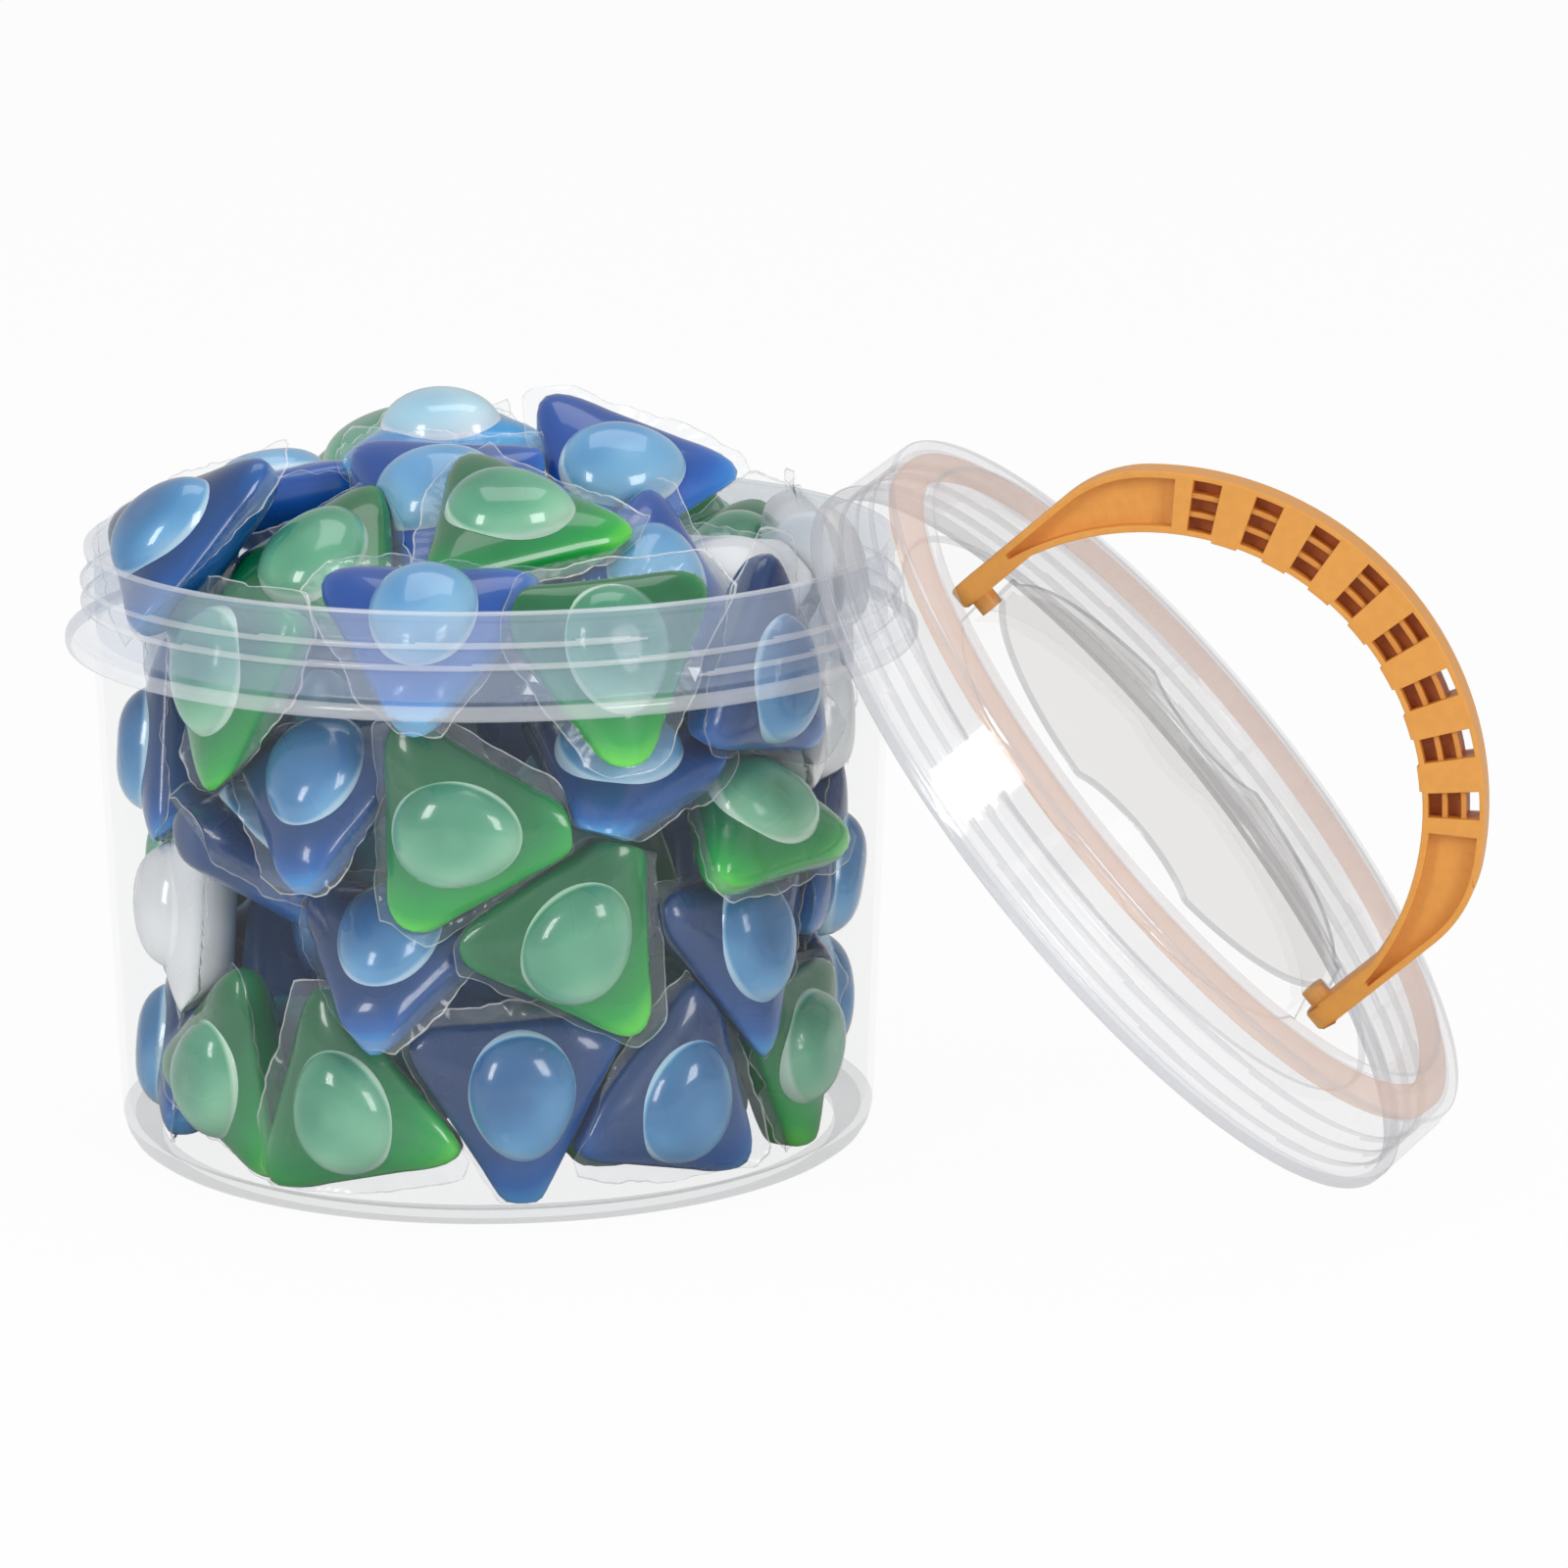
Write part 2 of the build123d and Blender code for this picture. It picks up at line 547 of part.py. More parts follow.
def placed_pods():
    """Node names and frames of all pods before they settle."""
    count = {}
    pods = []
    for colour, *where in WALL_PODS:
        count[colour] = count.get(colour, 0) + 1
        pods.append((f"pod_{colour}_{count[colour]:02d}", wall_plane(*where)))
    for colour, *where in HEAP_PODS:
        count[colour] = count.get(colour, 0) + 1
        pods.append((f"pod_{colour}_{count[colour]:02d}", heap_plane(*where)))
    for layer in range(CORE_LAYERS):
        for i in range(CORE_PER_LAYER):
            angle = math.radians(360 / CORE_PER_LAYER * (i + layer / 2))
            height = TUB_FLOOR + POD_TRAY_DEPTH + layer * CORE_LAYER_HEIGHT
            x = CORE_RADIUS * math.cos(angle)
            y = CORE_RADIUS * math.sin(angle)
            pods.append((CORE_NODE, heap_plane(x, y, height, CORE_LEAN, CORE_TURN * i, 360 / CORE_PER_LAYER * i)))
    names = [name for name, _ in pods]
    frames = [frame for _, frame in pods]
    return names, frames


def wall_limits():
    """Limits of the room inside as (normal, distance) pairs: the wall, its bottom corner, the floor."""
    limits = []
    taper = (inner_radius(TUB_HEIGHT) - inner_radius(0)) / TUB_HEIGHT
    inset = math.cos(math.radians(WALL_STEP / 2))
    reach = (inner_radius(0) - POD_CLEARANCE) * inset
    corner = BASE_CORNER - TUB_WALL
    slant = math.sqrt(0.5)
    for i in range(round(360 / WALL_STEP)):
        angle = math.radians(i * WALL_STEP)
        out = (math.cos(angle), math.sin(angle))
        limits.append(((out[0], out[1], -taper), reach))
        bottom = (inner_radius(0) * inset - corner - TUB_FLOOR - corner) * slant + corner - POD_CLEARANCE
        limits.append(((out[0] * slant, out[1] * slant, -slant), bottom))
    limits.append(((0, 0, -1), -TUB_FLOOR - POD_CLEARANCE))
    return limits


def even_directions():
    """Directions spread evenly over a sphere, each with its opposite."""
    golden = math.pi * (3 - math.sqrt(5))
    half = []
    for i in range(SETTLE_DIRECTIONS // 2):
        z = (i + 0.5) / (SETTLE_DIRECTIONS // 2)
        ring = math.sqrt(1 - z * z)
        half.append((ring * math.cos(golden * i), ring * math.sin(golden * i), z))
    half = np.array(half)
    return np.concatenate([half, -half])


def reach_along(centres, shapes, directions):
    """How far each pod reaches along each direction."""
    return (centres[:, None, :] * directions).sum(2) + (shapes @ directions.T).max(1)


def closest_pairs(centres, shapes, directions):
    """For every two pods, the direction that parts them best and how deep they overlap along it."""
    reach = reach_along(centres, shapes, directions)
    back = np.roll(reach, len(directions) // 2, axis=1)
    depth = reach[:, None, :] + back[None, :, :]
    best = depth.argmin(2)
    depth = depth.min(2)
    np.fill_diagonal(depth, -POD_RADIUS)
    return directions[best], depth


def settle(frames):
    """Moves the pods until they all touch and barely overlap, each as near its place as it can be."""
    shapes = np.array([pod_corners() @ turn_matrix(frame) for frame in frames])
    places = np.array([list(frame.origin) for frame in frames])
    centres = places.copy()
    directions = even_directions()
    normals = np.array([normal for normal, _ in wall_limits()])
    bounds = np.array([distance for _, distance in wall_limits()])
    for _ in range(SETTLE_STEPS):
        apart, depth = closest_pairs(centres, shapes, directions)
        falling = depth.max(1) < SETTLE_TOUCH
        places[falling, 2] -= SETTLE_DROP
        centres += SETTLE_HOLD * (places - centres)
        push = np.clip(depth + POD_CLEARANCE, 0, None)[:, :, None] * apart
        centres -= SETTLE_PUSH * push.sum(1)
        beyond = np.clip(reach_along(centres, shapes, normals) - bounds, 0, None)
        worst = beyond.argmax(1)
        centres -= normals[worst] * beyond[np.arange(len(worst)), worst][:, None]
    return centres, shapes


def half_space(normal, distance):
    """The cutting plane where the product with the normal equals the distance."""
    scale = math.sqrt(sum(n * n for n in normal))
    unit = Vector(*[n / scale for n in normal])
    return Plane(origin=unit * (distance / scale), z_dir=unit)


def trimmed(pod, cuts):
    """Squashes a pod flat wherever it would reach past one of the cutting planes."""
    for normal, distance in cuts:
        ends = [sum(a * b for a, b in zip(normal, v)) for v in pod.vertices()]
        if max(ends) > distance + 1e-4:
            pod = split(pod, half_space(normal, distance), keep=Keep.BOTTOM)
    return pod


def make_pods():
    """All pods by node name, settled and squashed against each other, the wall and the floor."""
    names, frames = placed_pods()
    centres, shapes = settle(frames)
    apart, depth = closest_pairs(centres, shapes, even_directions())
    whole = make_pod()
    hidden = make_pillow()
    nodes = {}
    for i, name in enumerate(names):
        frame = Plane(origin=Vector(*centres[i]), x_dir=frames[i].x_dir, z_dir=frames[i].z_dir)
        cuts = wall_limits()
        for k in range(len(names)):
            if depth[i, k] < -2 * POD_FILM_MARGIN:
                continue
            own_reach = (shapes[i] @ apart[i, k]).max() + centres[i] @ apart[i, k]
            cuts.append((apart[i, k], own_reach - (depth[i, k] + POD_CLEARANCE) / 2))
        master = hidden if name == CORE_NODE else whole
        nodes.setdefault(name, []).append(trimmed(frame.location * master, cuts))
    return nodes


# Where the lid rests
def lean_plane(distance, z):
    """The lid's own frame when its centre is this far out from the tub's axis and this high."""
    tilt = math.radians(LEAN_TILT)
    yaw = math.radians(LEAN_YAW)
    bearing = math.radians(LEAN_BEARING)
    centre = (distance * math.cos(bearing), distance * math.sin(bearing), z)
    normal = (math.cos(yaw) * math.sin(tilt), math.sin(yaw) * math.sin(tilt), math.cos(tilt))
    level = (-math.sin(yaw), math.cos(yaw), 0)
    return Plane(origin=centre, x_dir=level, z_dir=normal)


def tub_rims():
    """The tub's outermost circles, which are all that a leaning lid can meet."""
    top = flange_top()
    circles = [(LIP_RADIUS, TUB_HEIGHT), (LIP_RADIUS, TUB_HEIGHT - LIP_BEAD_HEIGHT),
               (inner_radius(TUB_HEIGHT), TUB_HEIGHT), (FLANGE_RADIUS, top), (FLANGE_RADIUS, top - FLANGE_THICKNESS)]
    return Compound([Edge.make_circle(r, Plane.XY.offset(z)) for r, z in circles])


def resting_plane():
    """Lowers the leaning lid to the floor, then slides it towards the tub until they all but touch."""
    lid = plain_lid()
    rims = tub_rims()
    lift = -(lean_plane(0, 0).location * lid).bounding_box().min.Z
    distance = FLANGE_RADIUS + LID_RADIUS
    for _ in range(40):
        gap = (lean_plane(distance, lift).location * lid).distance_to(rims)
        if abs(gap - LEAN_CLEARANCE) < 0.01:
            break
        distance -= (gap - LEAN_CLEARANCE) * 0.98
    return lean_plane(distance, lift)


def main():
    os.makedirs("parts", exist_ok=True)
    tub = make_tub()
    plane = resting_plane()
    print("lid rests at", plane.origin)
    for name, solids in make_pods().items():
        export_step(solids[0] if len(solids) == 1 else Compound(solids), f"parts/{name}.step")
    export_step(tub, "parts/tub.step")
    export_step(plane.location * make_lid(), "parts/lid.step")
    export_step(plane.location * make_seal(), "parts/seal_ring.step")
    export_step(plane.location * (Pos(0, 0, PIVOT_HEIGHT) * make_handle()), "parts/handle.step")


main()
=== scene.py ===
# %% [markdown]
# # A tub of laundry pods with its lid off
# The photograph shows a round frosted tub, full of liquid pods, and a clear screw lid with an
# orange carry handle that leans on the tub's rim. A real tub like this is blown or moulded in
# milky polypropylene about 1.4 mm thick, so the pods behind it look paler than those on top.
#
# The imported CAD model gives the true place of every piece. This lesson keeps those places and
# makes each piece look like the material that it is moulded from.

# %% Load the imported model
import math

import bmesh
import bpy
import numpy as np
from mathutils import Matrix, Vector


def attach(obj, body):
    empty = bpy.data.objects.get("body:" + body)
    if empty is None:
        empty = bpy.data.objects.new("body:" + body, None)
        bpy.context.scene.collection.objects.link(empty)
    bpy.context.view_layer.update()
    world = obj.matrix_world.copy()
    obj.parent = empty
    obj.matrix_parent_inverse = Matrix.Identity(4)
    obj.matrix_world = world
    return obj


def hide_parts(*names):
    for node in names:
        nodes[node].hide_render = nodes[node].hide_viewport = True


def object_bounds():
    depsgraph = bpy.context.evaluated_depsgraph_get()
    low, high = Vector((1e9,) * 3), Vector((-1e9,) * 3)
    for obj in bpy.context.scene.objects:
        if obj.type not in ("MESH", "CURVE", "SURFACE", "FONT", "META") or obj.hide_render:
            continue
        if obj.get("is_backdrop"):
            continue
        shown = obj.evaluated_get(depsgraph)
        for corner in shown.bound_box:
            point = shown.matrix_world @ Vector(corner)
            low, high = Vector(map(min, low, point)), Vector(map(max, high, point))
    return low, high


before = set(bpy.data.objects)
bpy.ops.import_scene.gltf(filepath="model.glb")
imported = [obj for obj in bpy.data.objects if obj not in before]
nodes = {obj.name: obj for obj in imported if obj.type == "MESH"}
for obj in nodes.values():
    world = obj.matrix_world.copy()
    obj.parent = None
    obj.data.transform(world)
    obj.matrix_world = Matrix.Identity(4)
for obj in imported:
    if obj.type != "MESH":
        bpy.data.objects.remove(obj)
bpy.context.view_layer.update()
cad_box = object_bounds()
MM = 0.001
print("nodes:", len(nodes), "box:", [[round(v, 4) for v in c] for c in cad_box])

# %% [markdown]
# ## Surfaces from whole arrays
# Every new piece is a grid of points worked out with numpy: one parameter runs round the piece
# and the other along its profile. A grid could be made with modelling tools instead, but a
# formula keeps each size readable. The helpers below turn such grids into meshes.

# %% Grid helpers
def ring_quads(rows, cols, closed=False):
    """Quads between neighbouring rings: ring r, column c joins ring r+1 and column c+1, and the
    columns wrap round. With closed=True the last ring also joins the first."""
    r = np.arange(rows if closed else rows - 1)[:, None]
    c = np.arange(cols)[None, :]
    n = (c + 1) % cols
    s = (r + 1) % rows
    quads = np.stack([r * cols + c, r * cols + n, s * cols + n, s * cols + c], -1)
    return quads.reshape(-1, 4)


def capped(rings):
    """Points and faces of a closed skin: the rings, with a single point closing each end."""
    rows, cols = rings.shape[:2]
    points = np.concatenate([rings.reshape(-1, 3), rings[:1].mean(1), rings[-1:].mean(1)])
    c = np.arange(cols)
    n = (c + 1) % cols
    first = rows * cols
    low = np.stack([n, c, np.full(cols, first)], -1)
    high = np.stack([(rows - 1) * cols + c, (rows - 1) * cols + n, np.full(cols, first + 1)], -1)
    return points, ring_quads(rows, cols).tolist() + low.tolist() + high.tolist()


def looped(rings):
    """Points and faces of a closed skin whose last ring joins its first, like a bent tube."""
    rows, cols = rings.shape[:2]
    return rings.reshape(-1, 3), ring_quads(rows, cols, closed=True).tolist()


def facing_out(points, faces):
    """Turns all faces round if the skin's signed volume is negative."""
    tri = np.array([[f[0], f[i], f[i + 1]] for f in faces for i in range(1, len(f) - 1)])
    a, b, c = points[tri[:, 0]], points[tri[:, 1]], points[tri[:, 2]]
    volume = np.einsum("ij,ij->i", a, np.cross(b, c)).sum()
    return [f[::-1] for f in faces] if volume < 0 else faces


def turned(radius, angle, height):
    """Points at each angle: radius times cosine, radius times sine, and the height."""
    radius, height = np.broadcast_arrays(radius, height)
    return np.stack([radius * np.cos(angle), radius * np.sin(angle), height], -1)


def make_piece(name, skins, materials):
    """One object from several skins: (points in mm, faces, material number, depth values). The last
    two are one number, or one for each face and one for each point."""
    points, faces, slots, values = [], [], [], []
    start = 0
    for skin_points, skin_faces, slot, value in skins:
        skin_faces = facing_out(skin_points, skin_faces)
        faces += [[v + start for v in f] for f in skin_faces]
        slots += np.broadcast_to(slot, len(skin_faces)).tolist()
        points.append(skin_points)
        values.append(np.broadcast_to(value, len(skin_points)))
        start += len(skin_points)
    mesh = bpy.data.meshes.new(name)
    mesh.from_pydata((np.concatenate(points) * MM).tolist(), [], faces)
    mesh.polygons.foreach_set("material_index", np.array(slots, np.int32))
    mesh.polygons.foreach_set("use_smooth", np.ones(len(faces), bool))
    layer = mesh.attributes.new("depth", "FLOAT", "POINT")
    layer.data.foreach_set("value", np.concatenate(values).astype(np.float32))
    for material in materials:
        mesh.materials.append(material)
    mesh.update()
    piece = bpy.data.objects.new(name, mesh)
    bpy.context.scene.collection.objects.link(piece)
    return piece


def rounded(corners, steps=6):
    """A profile of (radius, height) points where each corner (r, z, round) becomes a small arc:
    a curve from round before the corner to round after it, bent towards the corner."""
    path = []
    for i, (r, z, size) in enumerate(corners):
        here = np.array([r, z], float)
        if size == 0 or i in (0, len(corners) - 1):
            path.append(here)
            continue
        before = np.array(corners[i - 1][:2], float) - here
        after = np.array(corners[i + 1][:2], float) - here
        a = here + before / np.linalg.norm(before) * min(size, np.linalg.norm(before) / 2)
        b = here + after / np.linalg.norm(after) * min(size, np.linalg.norm(after) / 2)
        for t in np.linspace(0, 1, steps):
            path.append((1 - t) ** 2 * a + 2 * t * (1 - t) * here + t * t * b)
    return np.array(path)


def resampled(path, spacing):
    """The same profile with a point at least every so many mm."""
    out = [path[0]]
    for a, b in zip(path[:-1], path[1:]):
        n = max(1, math.ceil(np.linalg.norm(b - a) / spacing))
        out += [a + (b - a) * k / n for k in range(1, n + 1)]
    return np.array(out)


print("grid of 3 rings of 4 has", len(ring_quads(3, 4)), "quads")

# %% [markdown]
# ## Glossy and see-through plastics
# A moulded plastic is mostly one colour with a clear gloss. What makes it look real is small:
# the surface waves a little, the gloss is uneven where hands have rubbed it, and thin walls let
# light through. Glass shaders with true refraction would need many bounces through the nested
# walls, so each see-through wall gets a plain alpha and a strong gloss instead.

# %% Material helper
NOISE_LOW, NOISE_HIGH, DRIFT = 0.3, 0.7, 0.2
COAT_ROUGHNESS, RIPPLE_HEIGHT = 0.04, 0.0006


def shade(hex_colour):
    """A colour written as on the web, turned by the sRGB curve into the linear light values that
    shaders use."""
    channels = [int(hex_colour[i:i + 2], 16) / 255 for i in (1, 3, 5)]
    return tuple(c / 12.92 if c <= 0.04045 else ((c + 0.055) / 1.055) ** 2.4 for c in channels)


def spread(tree, value, low, high):
    """A noise value, which lies mostly between its usual low and high, mapped from low to high."""
    span = tree.nodes.new("ShaderNodeMapRange")
    span.inputs["From Min"].default_value = NOISE_LOW
    span.inputs["From Max"].default_value = NOISE_HIGH
    span.inputs["To Min"].default_value = low
    span.inputs["To Max"].default_value = high
    tree.links.new(value, span.inputs["Value"])
    return span.outputs["Result"]


def plastic(name, colours, roughness=0.3, alpha=1.0, gloss=0.5, bump=0.0, grain=90.0, mottle=0.03,
            coat=0.0, ior=1.5):
    """A moulded finish. Its colours follow the piece's own depth attribute from 0 to 1, which on
    the pods and the handle carries painted glow and painted shade. A noise of scale grain drifts
    the roughness by a fifth and the brightness by mottle, and waves the surface with strength bump.
    coat is the weight of a clear wet layer on top. A see-through wall's alpha also weakens its
    gloss, so it gets a higher ior."""
    material = bpy.data.materials.new(name)
    material.use_nodes = True
    tree = material.node_tree
    shader = tree.nodes["Principled BSDF"]
    shader.inputs["Alpha"].default_value = alpha
    shader.inputs["Specular IOR Level"].default_value = gloss
    shader.inputs["IOR"].default_value = ior
    shader.inputs["Coat Weight"].default_value = coat
    shader.inputs["Coat Roughness"].default_value = COAT_ROUGHNESS
    place = tree.nodes.new("ShaderNodeTexCoord")
    noise = tree.nodes.new("ShaderNodeTexNoise")
    noise.inputs["Scale"].default_value = grain
    noise.inputs["Detail"].default_value = 1.0
    tree.links.new(place.outputs["Object"], noise.inputs["Vector"])
    wave = noise.outputs["Fac"]
    tree.links.new(spread(tree, wave, roughness * (1 - DRIFT), roughness * (1 + DRIFT)),
                   shader.inputs["Roughness"])
    depth = tree.nodes.new("ShaderNodeAttribute")
    depth.attribute_name = "depth"
    ramp = tree.nodes.new("ShaderNodeValToRGB")
    stops = ramp.color_ramp.elements
    while len(stops) < len(colours):
        stops.new(0.5)
    for i in range(len(stops)):
        colour = colours[min(i, len(colours) - 1)]
        stops[i].position = i / (len(stops) - 1)
        stops[i].color = [*shade(colour), 1]
    tree.links.new(depth.outputs["Fac"], ramp.inputs["Fac"])
    drift = tree.nodes.new("ShaderNodeVectorMath")
    drift.operation = "SCALE"
    tree.links.new(ramp.outputs["Color"], drift.inputs[0])
    tree.links.new(spread(tree, wave, 1 - mottle, 1 + mottle), drift.inputs["Scale"])
    tree.links.new(drift.outputs[0], shader.inputs["Base Color"])
    if bump:
        ripple = tree.nodes.new("ShaderNodeBump")
        ripple.inputs["Strength"].default_value = bump
        ripple.inputs["Distance"].default_value = RIPPLE_HEIGHT
        tree.links.new(wave, ripple.inputs["Height"])
        tree.links.new(ripple.outputs["Normal"], shader.inputs["Normal"])
    return material


frosted = {
    "wall": plastic("frosted_wall", ["#A0ACB8"], 0.14, alpha=0.035, gloss=1.0, ior=2.4),
    "neck": plastic("frosted_neck", ["#C2D2EC"], 0.18, alpha=0.24, gloss=0.8, ior=1.6),
    # ridge is a painted highlight: bright white crests on the thread, the flange's edge and the
    # lip.
    "ridge": plastic("frosted_ridge_highlight", ["#F2F7FF"], 0.12, alpha=0.42, gloss=0.9, ior=1.6),
    "foot": plastic("frosted_foot", ["#94989E"], 0.14, alpha=0.24, gloss=0.9, ior=1.8),
}
clear = {
    "plateau": plastic("clear_plateau", ["#9E988E"], 0.1, alpha=0.15, gloss=0.6, ior=1.6),
    # line is painted edge shade: a grey line round the plateau's edge and its foot.
    "line": plastic("clear_line_edge_shade", ["#8C8D93"], 0.12, alpha=0.42, gloss=0.9),
    "trough": plastic("clear_trough", ["#EFECE8"], 0.1, alpha=0.045, gloss=0.5),
    "crest": plastic("clear_crest", ["#F2EEF2"], 0.08, alpha=0.22, gloss=1.0, ior=1.9),
    "skirt": plastic("clear_skirt", ["#E2E4EA"], 0.05, alpha=0.17, gloss=1.0, ior=2.4),
    # ridge is painted edge shade: grey lines along the lid's corners, its bead and its inner
    # thread.
    "ridge": plastic("clear_ridge_edge_shade", ["#C2C4CE"], 0.08, alpha=0.4, gloss=1.0, ior=2.0),
}
soft_seal = plastic("soft_seal", ["#FFBC78"], 0.45, alpha=0.34, gloss=0.3, bump=0.1, grain=200.0)
# The handle's second, darker orange is painted shade deep in its window cells.
orange_plastic = plastic("orange_plastic", ["#E6A04C", "#B4601E"], 0.42, gloss=0.35, bump=0.12,
                         grain=420.0)
print("materials:", len(bpy.data.materials))

# %% [markdown]
# ## The tub
# The tub is blown in one piece: a tapered body with a rounded foot, a flange for the lid to sit
# on, and a neck with a two-turn thread. It is a surface of revolution, apart from the thread.
# Sweeping a section along a helix would leave a seam where the thread meets the neck, so the
# thread is a bulge in the neck's own grid, and its height rises with the angle.

# %% Tub profile
TUB_HEIGHT, NECK, LIP, FLANGE = 123.0, 81.4, 82.0, 86.2
BODY_TOP, BODY_BASE, WALL, FLOOR = 80.6, 77.0, 1.4, 2.0
FLANGE_TOP, FLANGE_UNDER = 105.5, 102.5
TUB_COLUMNS = 288
THREAD_PITCH, THREAD_START, THREAD_DEPTH, THREAD_TURNS = 4.2, 116.9, 1.5, 2.0
THREAD_ANGLE, THREAD_FLANK, THREAD_FADE = math.radians(297.5), 0.7, 0.02
RECESS, RECESS_EDGE, STAND_EDGE, BASE_CORNER = 0.6, BODY_BASE - 12, BODY_BASE - 9, 8
INNER_CORNER, LIP_HEIGHT, NECK_ROWS = BASE_CORNER - WALL, 2.0, 52


def thread_bulge(angle, height):
    """How far the thread stands out at an angle and height: a bump with a flat top and a flank on
    each side. It starts at the top, falls by one pitch a turn and fades out over the first and the
    last few degrees."""
    total = np.zeros(np.broadcast(angle, height).shape)
    for turn in range(-1, int(THREAD_TURNS) + 1):
        along = ((THREAD_ANGLE - angle) % (2 * np.pi)) / (2 * np.pi) + turn
        middle = THREAD_START - THREAD_PITCH * along
        shape = np.clip(1.5 - np.abs(height - middle) / THREAD_FLANK, 0, 1)
        ends = (np.clip(along / THREAD_FADE, 0, 1)
                * np.clip((THREAD_TURNS - along) / THREAD_FADE, 0, 1))
        total = np.maximum(total, THREAD_DEPTH * shape * shape * (3 - 2 * shape) * ends)
    return total


outside = resampled(rounded([
    (0.0, RECESS, 0), (RECESS_EDGE, RECESS, 2), (STAND_EDGE, 0, 2), (BODY_BASE, 0, BASE_CORNER),
    (BODY_TOP, FLANGE_UNDER, 1.2), (FLANGE, FLANGE_UNDER, 1.2), (FLANGE, FLANGE_TOP, 1.4),
    (NECK, FLANGE_TOP, 0.8), (NECK, FLANGE_TOP + 2, 0)]), 5.0)
neck_heights = np.linspace(FLANGE_TOP + 2, TUB_HEIGHT - LIP_HEIGHT - 0.4, NECK_ROWS)
neck = np.stack([np.full(NECK_ROWS, NECK), neck_heights], 1)
inside = resampled(rounded([
    (NECK, TUB_HEIGHT - LIP_HEIGHT - 0.4, 0), (NECK, TUB_HEIGHT - LIP_HEIGHT, 0.3),
    (LIP, TUB_HEIGHT - LIP_HEIGHT + 0.2, 0.3), (LIP, TUB_HEIGHT, 0.6),
    (NECK - WALL, TUB_HEIGHT, 0.6), (NECK - WALL, FLANGE_TOP, 2),
    (BODY_TOP - WALL, FLANGE_UNDER, 2), (BODY_BASE - WALL, FLOOR, INNER_CORNER),
    (0.0, FLOOR + RECESS, 0)]), 6.0)
tub_path = np.concatenate([outside, neck[1:], inside[1:]])
on_neck = np.arange(len(outside), len(outside) + NECK_ROWS - 1)
print("tub profile points:", len(tub_path), "of which on the neck:", len(on_neck))

# %% Tub mesh
FROST_NECK, FROST_RIDGE, FROST_FOOT = 1, 2, 3
RIDGE_PROUD, FLANGE_EDGE, FOOT_BAND = 0.9, 1.6, 4.5
turn = np.arange(TUB_COLUMNS) * 2 * np.pi / TUB_COLUMNS
tub_radius = np.repeat(tub_path[:, :1], TUB_COLUMNS, 1)
tub_radius[on_neck] += thread_bulge(turn[None, :], tub_path[on_neck, 1:])
points, faces = capped(turned(tub_radius, turn, tub_path[:, 1:]))
middle = np.array([points[f].mean(0) for f in faces])
reach = np.hypot(middle[:, 0], middle[:, 1])
slots = np.zeros(len(faces), int)
level = middle[:, 2]
slots[level > FLANGE_TOP - 0.2] = FROST_NECK
# Thread crests, the flange's edge and the lip take the white ridge finish, a painted highlight.
slots[(reach > NECK + RIDGE_PROUD) & (level > FLANGE_TOP + 1)] = FROST_RIDGE
slots[(reach > FLANGE - FLANGE_EDGE) & (level > FLANGE_UNDER - 0.5)] = FROST_RIDGE
slots[level > TUB_HEIGHT - 0.5] = FROST_RIDGE
slots[(level < FOOT_BAND) & (reach > BODY_BASE - BASE_CORNER)] = FROST_FOOT
tub = make_piece("tub_shell", [(points, faces, slots, 0.0)], list(frosted.values()))
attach(tub, "tub_and_lid")
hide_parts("tub")
print("tub faces:", len(tub.data.polygons))

# %% [markdown]
# ## The lid
# The lid is a clear disc with a raised plateau, a trough for the folded handle, a crest, and a
# skirt with eight grip pads. Two finger scoops are cut into the plateau's edge, and a flat block
# at each end of the pivot line holds a handle pin. It could be modelled with booleans, but the
# plateau's edge is one radius for each angle and height, so the lid is one grid too.

# %% Lid sizes and frame
LID, BEAD, SKIRT_BASE, SKIRT_TOP = 87.3, 3.0, 86.7, 85.3
SHOULDER, CREST, CREST_OUT, CREST_IN = 20.2, 22.7, 79.5, 75.5
TROUGH_OUT, TROUGH_FLOOR, PLATEAU, PLATEAU_TOP, DRAFT, LID_WALL = 70.0, 7.7, 50.3, 17.7, 0.6, 1.5
SCOOP_WIDTH, SCOOP_REACH, SCOOP_DRAFT = 16.3, 38.5, math.tan(math.radians(32))
PAD_REACH, PAD_WIDTH, LID_COLUMNS = 51.2, 9.0, 360
TROUGH_START, PATH_STEP = 54.0, 3.0
tilt, yaw = math.radians(48.8), math.radians(-12.5)
LID_CENTRE = np.array([123.149, -23.4919, 65.6858])
LID_X = np.array([-math.sin(yaw), math.cos(yaw), 0])
LID_N = np.array([math.cos(yaw) * math.sin(tilt), math.sin(yaw) * math.sin(tilt), math.cos(tilt)])
LID_Y = np.cross(LID_N, LID_X)


def leaning(points):
    """Points of the lid's own frame where the lid leans on the tub."""
    return LID_CENTRE + points[..., :1] * LID_X + points[..., 1:2] * LID_Y + points[..., 2:] * LID_N


